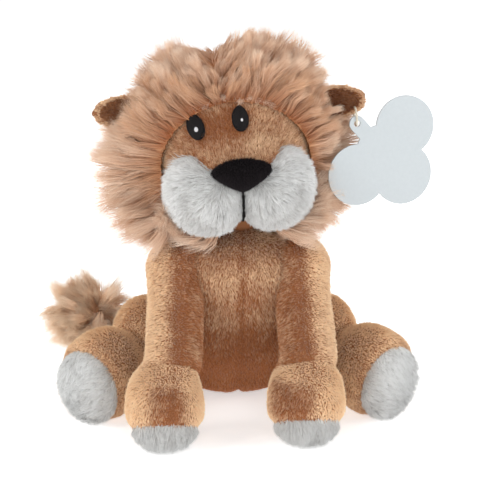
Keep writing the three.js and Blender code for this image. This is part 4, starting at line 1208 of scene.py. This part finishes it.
black_thread = thread_finish("black_thread", (0.012, 0.009, 0.010), (0.003, 0.003, 0.003))
white_thread = thread_finish("white_thread", (0.86, 0.86, 0.88), (0.6, 0.6, 0.63))
MOUTH = {"Threads": 34, "Thickness": 0.00024, "Crown": 0.0003, "Rise": 0.0002}
MOUTH |= {"Oval": 0.0, "Ragged": 0.25, "Seed": 80}
EYE = {"Threads": 30, "Thickness": 0.00022, "Crown": 0.0006, "Rise": 0.0001}
EYE |= {"Ragged": 0.1, "Slant": 0.1, "Seed": 82}
GLINT = {"Threads": 7, "Thickness": 0.00012, "Crown": 0.0002, "Rise": 0.0001}
GLINT |= {"Ragged": 0.3, "Slant": 0.15, "Seed": 84}


def mouth_chart(u, v):
    return u * MOUTH_WIDTH / 2, MOUTH_FOOT + (v + 1) / 2 * (MOUTH_TOP - MOUTH_FOOT), MOUTH_LIFT


def oval_chart(x, z, width, height, rise, lean=0):
    """An oval patch, as a function of its square map."""

    def chart(u, v):
        round_off = max(abs(u), abs(v)) / max(math.hypot(u, v), 1e-9)
        across, upward = u * round_off * width / 2, v * round_off * height / 2
        return x + across - lean * upward, z + upward + lean * across, rise

    return chart


black = ("black_thread", black_thread)
white = ("white_thread", white_thread)
satin("mouth_satin", "mouth_stitch", mouth_chart, *black, columns=4, rows=24, **MOUTH)
for name, lean, glint_share in (("left", 0.02, 0.45), ("right", 0.2, 0.75)):
    x, z = eyes[name]
    eye_chart = oval_chart(x, z, EYE_WIDTH - EYE_EDGE, EYE_HEIGHT - EYE_EDGE, EYE_LIFT, lean)
    satin(f"eye_{name}_satin", f"eye_{name}", eye_chart, *black, **EYE)
    glint = GLINT_SIZE * glint_share
    glint_chart = oval_chart(x + GLINT_SHIFT, z - glint / 2, glint * 0.8, glint, GLINT_LIFT)
    node = f"eye_glint_{name}"
    satin(f"{node}_satin", node, glint_chart, *white, columns=6, rows=6, **GLINT)


# Ears
# Flat pods of short plush, each of a back and a cupped lining sewn together round the edge. Their roots
# are sewn to the head, and the mane stands round them.
EAR_LENGTH = 0.027
EAR_HEIGHT = 0.0155
EAR_THICKNESS = 0.005
EAR_RISE = 0.0413
EAR_LEVEL = 0.0018  # how much lower the left one sits, and higher the right one
EAR_FORWARD = 0.009
EAR_CUP = 0.0014
EAR_SEAM = -EAR_FORWARD - 0.08 * EAR_THICKNESS
DEEP = ((0.09, 0.022, 0.007), (0.24, 0.08, 0.03))
WARM = ((0.2, 0.07, 0.025), (0.44, 0.22, 0.11))
EAR_SHORT = {**SHORT, "Length": 0.0021, "Density": 8e6}
EAR_BACK = ("tan_pile", tan_backing, tan_pile, EAR_SHORT)
EAR_LINING = ("tan_pile", tan_backing, pile_finish("lining_pile", DEEP, WARM), EAR_SHORT)
ear_root = 0.82 * HEAD_WIDTH / 2


def ear_middle(side):
    return Vector((side * (ear_root + EAR_LENGTH / 2), -EAR_FORWARD, EAR_RISE - side * EAR_LEVEL))


for name, side, lining_tone in (("left", 1, -0.05), ("right", -1, 0.35)):
    middle = ear_middle(side)
    places, faces = egg(middle, np.array((EAR_LENGTH, EAR_THICKNESS, EAR_HEIGHT)) - 2 * TAIL_RISE)

    def cupped(own):
        """How far the ear's front is pressed in."""
        across = (own[:, 0] - middle.x) / (0.36 * EAR_LENGTH)
        upward = (own[:, 2] - middle.z) / (0.34 * EAR_HEIGHT)
        return EAR_CUP * np.clip(1 - across**2 - upward**2, 0, 1)

    def before_seam(places):
        """How far places lie in front of the seam that joins the ear's back and its lining."""
        own = on_head(places)
        return EAR_SEAM + 0.7 * cupped(own) - own[:, 1]

    def ear_comb(places, normals):
        own = on_head(places)
        return turned_with_head(own - np.array(middle) + np.array((side * 0.012, 0, -0.002)))

    places[:, 1] += np.where(places[:, 1] < middle.y, cupped(places), 0)
    pod = placed((places, faces), HEAD_PLACE)
    edge = lambda p: np.abs(before_seam(p)) * 3
    behind = lambda p: before_seam(p) < 0
    ahead = lambda p: ~behind(p)
    ear = sewn_form(f"ear_form_{name}", [pod], edge, cap=0.0003, smooth=2, voxel=FINE_VOXEL)
    comb_pile(ear, ear_comb, edge, pale=lambda p: np.where(before_seam(p) > 0, lining_tone, 0.25))
    cover(
        ear,
        f"ear_{name}",
        (f"ear_{name}_back", behind, behind, EAR_BACK, 90 + side),
        (f"ear_{name}_lining", ahead, ahead, EAR_LINING, 93 + side),
        fill=0.3,
    )
    bpy.data.objects.remove(ear)


# Mane
# Long pile on a skin of its own, sewn over the head in a ruff round the face and a cap behind, with a
# padded roll under the ruff. It stands out in pointed locks, parts on the crown and falls at the back.
PARTING = -0.004
RUFF_PUFF = 0.0036  # how far the ruff's band of cloth stands up round the face
BACK_PUFF = 0.0045
LOWEST_ROLL = 126  # degrees round from the crown
BESIDE_EARS = -EAR_FORWARD
NECK_CLEAR = 0.016  # how near the middle of the neck the mane begins, and then the hair of the chin
CHIN_CLEAR = 0.0128
MANE_DARK = ((0.32, 0.088, 0.025), (0.85, 0.54, 0.33))
MANE_PALE = ((0.78, 0.42, 0.21), (0.99, 0.88, 0.76))
mane_pile = pile_finish("mane_pile", MANE_DARK, MANE_PALE, sheen=0.4, rough=0.6)


def mane_radial(own):
    return unit(np.stack([own[:, 0], 0 * own[:, 0], own[:, 2] - FACE_RISE], axis=1))


def mane_comb(places, normals):
    """Away from the face all round, to both sides of the parting, and down at the back of the head."""
    own = on_head(places)
    behind = np.clip((own[:, 1] + 0.002) / 0.024, 0, 1)[:, None]
    off_parting = (own[:, 0] - PARTING) / 0.007
    aside = np.sign(off_parting) * np.exp(-(off_parting**2)) * np.clip(mane_radial(own)[:, 2], 0, 1)
    way = mane_radial(own) * (1 - behind) + np.array((0, 0.25, -1)) * behind
    return turned_with_head(way + 0.75 * aside[:, None] * np.array((1, 0, 0)))


def mane_length(places):
    """Longest at the sides, shorter on the crown, behind and by the ears and the tag, and short at the
    parting."""
    own = on_head(places)
    up = np.clip(mane_radial(own)[:, 2], 0, 1)
    behind = np.clip((own[:, 1] + 0.004) / 0.024, 0, 1)
    parting = np.exp(-(((own[:, 0] - PARTING) / 0.0035) ** 2)) * up
    ear_level = EAR_RISE - np.sign(own[:, 0]) * EAR_LEVEL
    by_ear = np.exp(-(((np.abs(own[:, 0]) - 0.034) / 0.010) ** 2) - ((own[:, 2] - ear_level) / 0.008) ** 2)
    by_tag = np.clip((own[:, 0] - 0.012) / 0.012, 0, 1) * np.exp(-(((own[:, 2] - 0.018) / 0.019) ** 2))
    by_tag = by_tag * np.clip((-0.002 - own[:, 1]) / 0.004, 0, 1)
    length = (1 - 0.33 * up**2) * (1 - 0.4 * behind) * (1 - 0.55 * parting)
    return length * (1 - 0.5 * by_ear) * (1 - 0.55 * by_tag)


def mane_pale(places):
    """Rust at the hairline, paler away from it."""
    own = on_head(places)
    upper = np.clip(mane_radial(own)[:, 2] + 0.1, 0.25, 1)
    hairline = np.exp(-(((face_share(own) - 0.97) / 0.12) ** 2)) * (own[:, 1] < -0.002)
    return 0.14 - 0.18 * upper - 0.5 * upper * hairline


def in_mane(front, side):
    """The ruff or the cap, on one side of the head. Its pile thins out behind."""

    def mask(places):
        own = on_head(places)
        hair = (face_share(own) > 0.93) | (own[:, 1] > 0)
        hair = hair & ~((out_of_egg(own, head_middle, head_size) < 0) & (own[:, 1] < 0))
        clear = (np.linalg.norm(own, axis=1) > NECK_CLEAR) & (own[:, 2] > -0.003)
        hair = hair & clear & ((own[:, 1] < BESIDE_EARS) == front) & (own[:, 0] * side > 0)
        return hair * np.interp(own[:, 1], (0.004, 0.014), (1, 0.45))

    return mask


cap_size = head_size + 2 * BACK_PUFF - np.array((0, 0.006, 0))
mane_shapes = [egg(head_middle + Vector((0, 0.003, 0)), cap_size)]
for degrees in np.linspace(-LOWEST_ROLL, LOWEST_ROLL, 25):
    turn = math.radians(degrees)
    x = (FACE_WIDTH / 2 + 0.8 * RUFF_PUFF) * math.sin(turn)
    z = FACE_RISE + (FACE_HEIGHT / 2 + 0.8 * RUFF_PUFF) * math.cos(turn)
    y = -0.0065 - 0.0095 * max(0, math.cos(turn)) ** 2
    mane_shapes.append(egg((x, y, z), np.full(3, 2 * RUFF_PUFF)))
mane_shapes = [placed(shape, HEAD_PLACE) for shape in mane_shapes]
mane = sewn_form("mane_form", mane_shapes, no_seams, cap=0, smooth=3, voxel=0.002)
comb_pile(mane, mane_comb, no_seams, longer=mane_length, pale=mane_pale)
for node, front, density in (("mane_ruff", True, 1.65e7), ("mane_back", False, 4.3e6)):
    for name, side in SIDES:
        lock = {**LONG, "Density": density, "Rise": 0.8, "Lay": 0.8, "Seed": 100 + side + 10 * front}
        mask = in_mane(front, side)
        panel(mane, f"{node}_{name}_cloth", mask, "head", "mane_pile", mane_backing, fill=0.5)
        grow_pile(mane, f"{node}_{name}_pile", mask, "head", "mane_pile", mane_pile, (node,), **lock)
bpy.data.objects.remove(mane)


def hairline(places):
    own = on_head(places)
    return in_face(places) & (face_share(own) > 0.94) & ~on_cheek(places)


def forelock_comb(places, normals):
    """Outwards beside the face, and down over the forehead above it."""
    own = on_head(places)
    falling = np.clip((own[:, 2] - 0.034) / 0.006, 0, 1)[:, None]
    return turned_with_head(mane_radial(own) * (1 - falling) + np.array((-0.25, -0.3, -0.8)) * falling)


def chin_comb(places, normals):
    """Down, and out from the chin."""
    own = on_head(places)
    way = np.stack([own[:, 0] * 50, own[:, 1] * 12, np.full(len(own), -0.6)], axis=1)
    return turned_with_head(way)


def under_chin(places, side):
    """Below one cheek, clear of the neck and of the middle."""
    own = on_head(places)
    clear = (np.linalg.norm(own, axis=1) > CHIN_CLEAR) & (np.abs(own[:, 0]) > 0.007)
    beneath = (own[:, 2] < 0.008) & (own[:, 1] < 0.008) & (own[:, 1] > -0.019)
    return clear & beneath & (own[:, 0] * side > 0)


comb_pile(head, forelock_comb, no_seams, pale=even(0.15))
FORELOCK = {**LONG, "Density": 8e6, "Length": 0.0062, "Width": 0.00026, "Untidy": 0.6}
FORELOCK |= {"Rise": 0.8, "Lay": 0.8, "Seed": 120}
grow_pile(head, "mane_forelock", hairline, "head", "mane_pile", mane_pile, **FORELOCK)
comb_pile(head, chin_comb, no_seams, pale=even(0.35))
for name, side, length in (("left", 1, 0.021), ("right", -1, 0.016)):
    lock = {**LONG, "Density": 9e6, "Length": length, "Rise": 0.15, "Lay": 1.0, "Seed": 124 + side}
    beneath = lambda p: under_chin(p, side)
    grow_pile(head, f"mane_chin_{name}", beneath, "head", "mane_pile", mane_pile, **lock)
bpy.data.objects.remove(head)


# Hang tag
# A blank card cut as a clover of three lobes with a tab, hung by the hole in its tab from a nylon loop
# that is sewn through the lower edge of the left ear.
TAG_THICKNESS = 0.0008
LOBE_RADIUS = 0.0116
LOBE_OFFSET = 0.0128
TAG_HANG = 0.0145
TAB_WIDTH = 0.006
TAG_HOLE_RADIUS = 0.0013
CUT_EDGE = 0.00018
LOOP_WIRE = 0.0008
LOOP_DIAMETER = 0.0068
LOOP_STEPS, WIRE_STEPS = 48, 10
CARD_STEPS, HOLE_STEPS = 240, 32
TAG_LEAN = math.radians(43)
TAG_YAW = math.radians(15)
LOOP_ALONG = 0.27
ear_edge = EAR_HEIGHT / 2 * math.sqrt(1 - (2 * LOOP_ALONG) ** 2)
loop_middle = ear_middle(1) + Vector((EAR_LENGTH * LOOP_ALONG, -0.42 * EAR_THICKNESS, LOOP_WIRE - ear_edge))
hang_from = HEAD_PLACE @ (loop_middle + Vector((0, -1, -1)).normalized() * LOOP_DIAMETER / 2)
tag_turn = Matrix.Rotation(TAG_YAW, 4, "Z") @ Matrix.Rotation(-TAG_LEAN, 4, "Y")
TAG_PLACE = Matrix.Translation(hang_from) @ tag_turn
discs = [
    ((0, 0), 0.85 * LOBE_RADIUS),
    ((-LOBE_OFFSET, 0), LOBE_RADIUS),
    ((LOBE_OFFSET, 0), LOBE_RADIUS),
    ((0, -LOBE_OFFSET), LOBE_RADIUS),
    ((0, TAG_HANG), TAB_WIDTH / 2),
]


def card_reach(way):
    """How far the card reaches from its middle in a direction: the furthest of its discs and its tab."""
    reach = 0
    for (x, z), radius in discs:
        ahead = x * way[0] + z * way[1]
        aside = abs(x * way[1] - z * way[0])
        if aside < radius:
            reach = max(reach, ahead + math.sqrt(radius**2 - aside**2))
    if way[1] > 0 and abs(way[0]) > 1e-9:
        side = TAB_WIDTH / 2 / abs(way[0])
        if side * way[1] < TAG_HANG:
            reach = max(reach, side)
    return reach


card = bmesh.new()
for steps, reach, lift in (
    (CARD_STEPS, card_reach, 0),
    (HOLE_STEPS, lambda way: TAG_HOLE_RADIUS, TAG_HANG),
):
    ring = []
    for i in range(steps):
        turn = 2 * math.pi * i / steps
        way = (math.cos(turn), math.sin(turn))
        far = reach(way)
        ring.append(card.verts.new((far * way[0], 0, far * way[1] + lift - TAG_HANG)))
    for a, b in zip(ring, ring[1:] + ring[:1]):
        card.edges.new((a, b))
bmesh.ops.triangle_fill(card, edges=card.edges[:], use_beauty=True, normal=(0, -1, 0))
bmesh.ops.recalc_face_normals(card, faces=card.faces[:])
bmesh.ops.translate(card, verts=card.verts[:], vec=(0, TAG_THICKNESS / 2, 0))
card_mesh = bpy.data.meshes.new("hang_tag_card")
card.to_mesh(card_mesh)
card.free()
tag = new_piece("hang_tag_card", card_mesh)
sheet = tag.modifiers.new("card", "SOLIDIFY")
sheet.thickness = TAG_THICKNESS
sheet.offset = 0
soft_edge = tag.modifiers.new("edge", "BEVEL")
soft_edge.width = CUT_EDGE
soft_edge.segments = 2
soft_edge.limit_method = "ANGLE"
settle(tag)
tag.data.transform(TAG_PLACE @ Matrix.Translation((0, -TAG_THICKNESS / 2, 0)))
card_grain = {"Scale": 900.0, "Detail": 3.0}
card_finish = grained_finish("card", (0.48, 0.52, 0.54), (0.53, 0.57, 0.59), card_grain, (0.35, 0.5))
tag.data.materials.append(card_finish)
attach(tag, "tag")
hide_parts("hang_tag")

ring_places, ring_faces = [], []
for i in range(LOOP_STEPS):
    turn = 2 * math.pi * i / LOOP_STEPS
    for j in range(WIRE_STEPS):
        round_wire = 2 * math.pi * j / WIRE_STEPS
        far = LOOP_DIAMETER / 2 + LOOP_WIRE / 2 * math.cos(round_wire)
        off_plane = LOOP_WIRE / 2 * math.sin(round_wire)
        ring_places.append((off_plane, far * math.cos(turn), far * math.sin(turn)))
        here, ahead = i * WIRE_STEPS, (i + 1) % LOOP_STEPS * WIRE_STEPS
        nearby = (j + 1) % WIRE_STEPS
        ring_faces.append((here + j, here + nearby, ahead + nearby, ahead + j))
ring_shape = (np.array(ring_places) + np.array(loop_middle), ring_faces)
loop = new_object("tag_loop_nylon", *placed(ring_shape, HEAD_PLACE))
loop.data.shade_smooth()
nylon_grain = {"Scale": 600.0, "Detail": 2.0}
nylon = grained_finish("nylon", (0.75, 0.66, 0.48), (0.85, 0.8, 0.7), nylon_grain, (0.2, 0.35))
nylon.node_tree.nodes["Principled BSDF"].inputs["Transmission Weight"].default_value = 0.3
loop.data.materials.append(nylon)
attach(loop, "ear_left")
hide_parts("tag_loop")


# Fillings
# Polyester fibre fills every limb and the head. A pouch of plastic pellets in the seat gives the weight
# that keeps the lion sitting. None of them shows once the skins are sewn shut.
fibre = cloth_finish("fibre", (0.82, 0.82, 0.80), (0.62, 0.62, 0.60), rough=1.0, loops=300.0)
pellets = grained_finish(
    "pellets",
    (0.85, 0.85, 0.83),
    (0.3, 0.3, 0.29),
    {"Scale": 330.0},
    (0.35,),
    bump=(0.8, 0.001, True),
    kind="ShaderNodeTexVoronoi",
)
inside = {"pellet_pouch": pellets, "neck_filling": tan_backing}
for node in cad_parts:
    if node.endswith("_filling") or node in inside:
        filling = bpy.data.objects.get(node)
        if filling is not None:
            filling.data.materials.clear()
            filling.data.materials.append(inside.get(node, fibre))


# Studio
# A pale sweep of paper under soft lights, with the camera low in front and a little to the left.
TARGET = Vector((0.0005, -0.042, 0.071))
CAMERA_TURN = math.radians(-3)
CAMERA_RISE = math.radians(13)
CAMERA_AWAY = 0.720
LENS = 143.6
FLOOR_HALF = 15.0


def aimed(thing, place):
    """Puts a light or the camera in the scene, turned to the lion."""
    holder = bpy.data.objects.new(thing.name, thing)
    holder.location = place
    holder.rotation_euler = (TARGET - Vector(place)).to_track_quat("-Z", "Y").to_euler()
    scene.collection.objects.link(holder)
    return holder


def soft_light(name, place, size, watts, colour=(1, 1, 1)):
    light = bpy.data.lights.new(name, "AREA")
    light.size = size
    light.energy = watts
    light.color = colour
    aimed(light, place)


paper, paper_wire, paper_shader = new_finish("paper", 0.9, specular=0.5)
paper_grain = paper_wire("ShaderNodeTexNoise", {"Scale": 40.0, "Detail": 4.0})
paper_tone = paper_wire("ShaderNodeMapRange", {"Value": paper_grain, "To Min": 0.93, "To Max": 0.96})
paper_wire.join(paper_tone, paper_shader["Base Color"])
paper_shader["Emission Color"].default_value = (1, 1, 1, 1)
paper_shader["Emission Strength"].default_value = 0.55
corners = [(x * FLOOR_HALF, y * FLOOR_HALF, 0) for x, y in ((-1, -1), (1, -1), (1, 1), (-1, 1))]
sweep = new_object("paper_sweep", corners, [(0, 1, 2, 3)])
sweep.data.materials.append(paper)
world = bpy.data.worlds.new("studio")
world.use_nodes = True
world.node_tree.nodes["Background"].inputs["Color"].default_value = (1, 1, 1, 1)
world.node_tree.nodes["Background"].inputs["Strength"].default_value = 0.5
scene.world = world
scene.view_settings.view_transform = "Standard"
soft_light("key", (-0.85, -0.55, 0.55), 0.5, 4.4, (1, 0.985, 0.96))
soft_light("fill", (0.95, -0.50, 0.40), 0.5, 3.4)
soft_light("front", (0.0, -1.1, 0.5), 0.6, 2.2)
soft_light("rim", (0.1, 0.7, 0.8), 0.5, 2.2)
lens = bpy.data.cameras.new("camera")
lens.lens = LENS
back = Vector((math.sin(CAMERA_TURN), -math.cos(CAMERA_TURN), math.tan(CAMERA_RISE))).normalized()
scene.camera = aimed(lens, TARGET + back * CAMERA_AWAY)
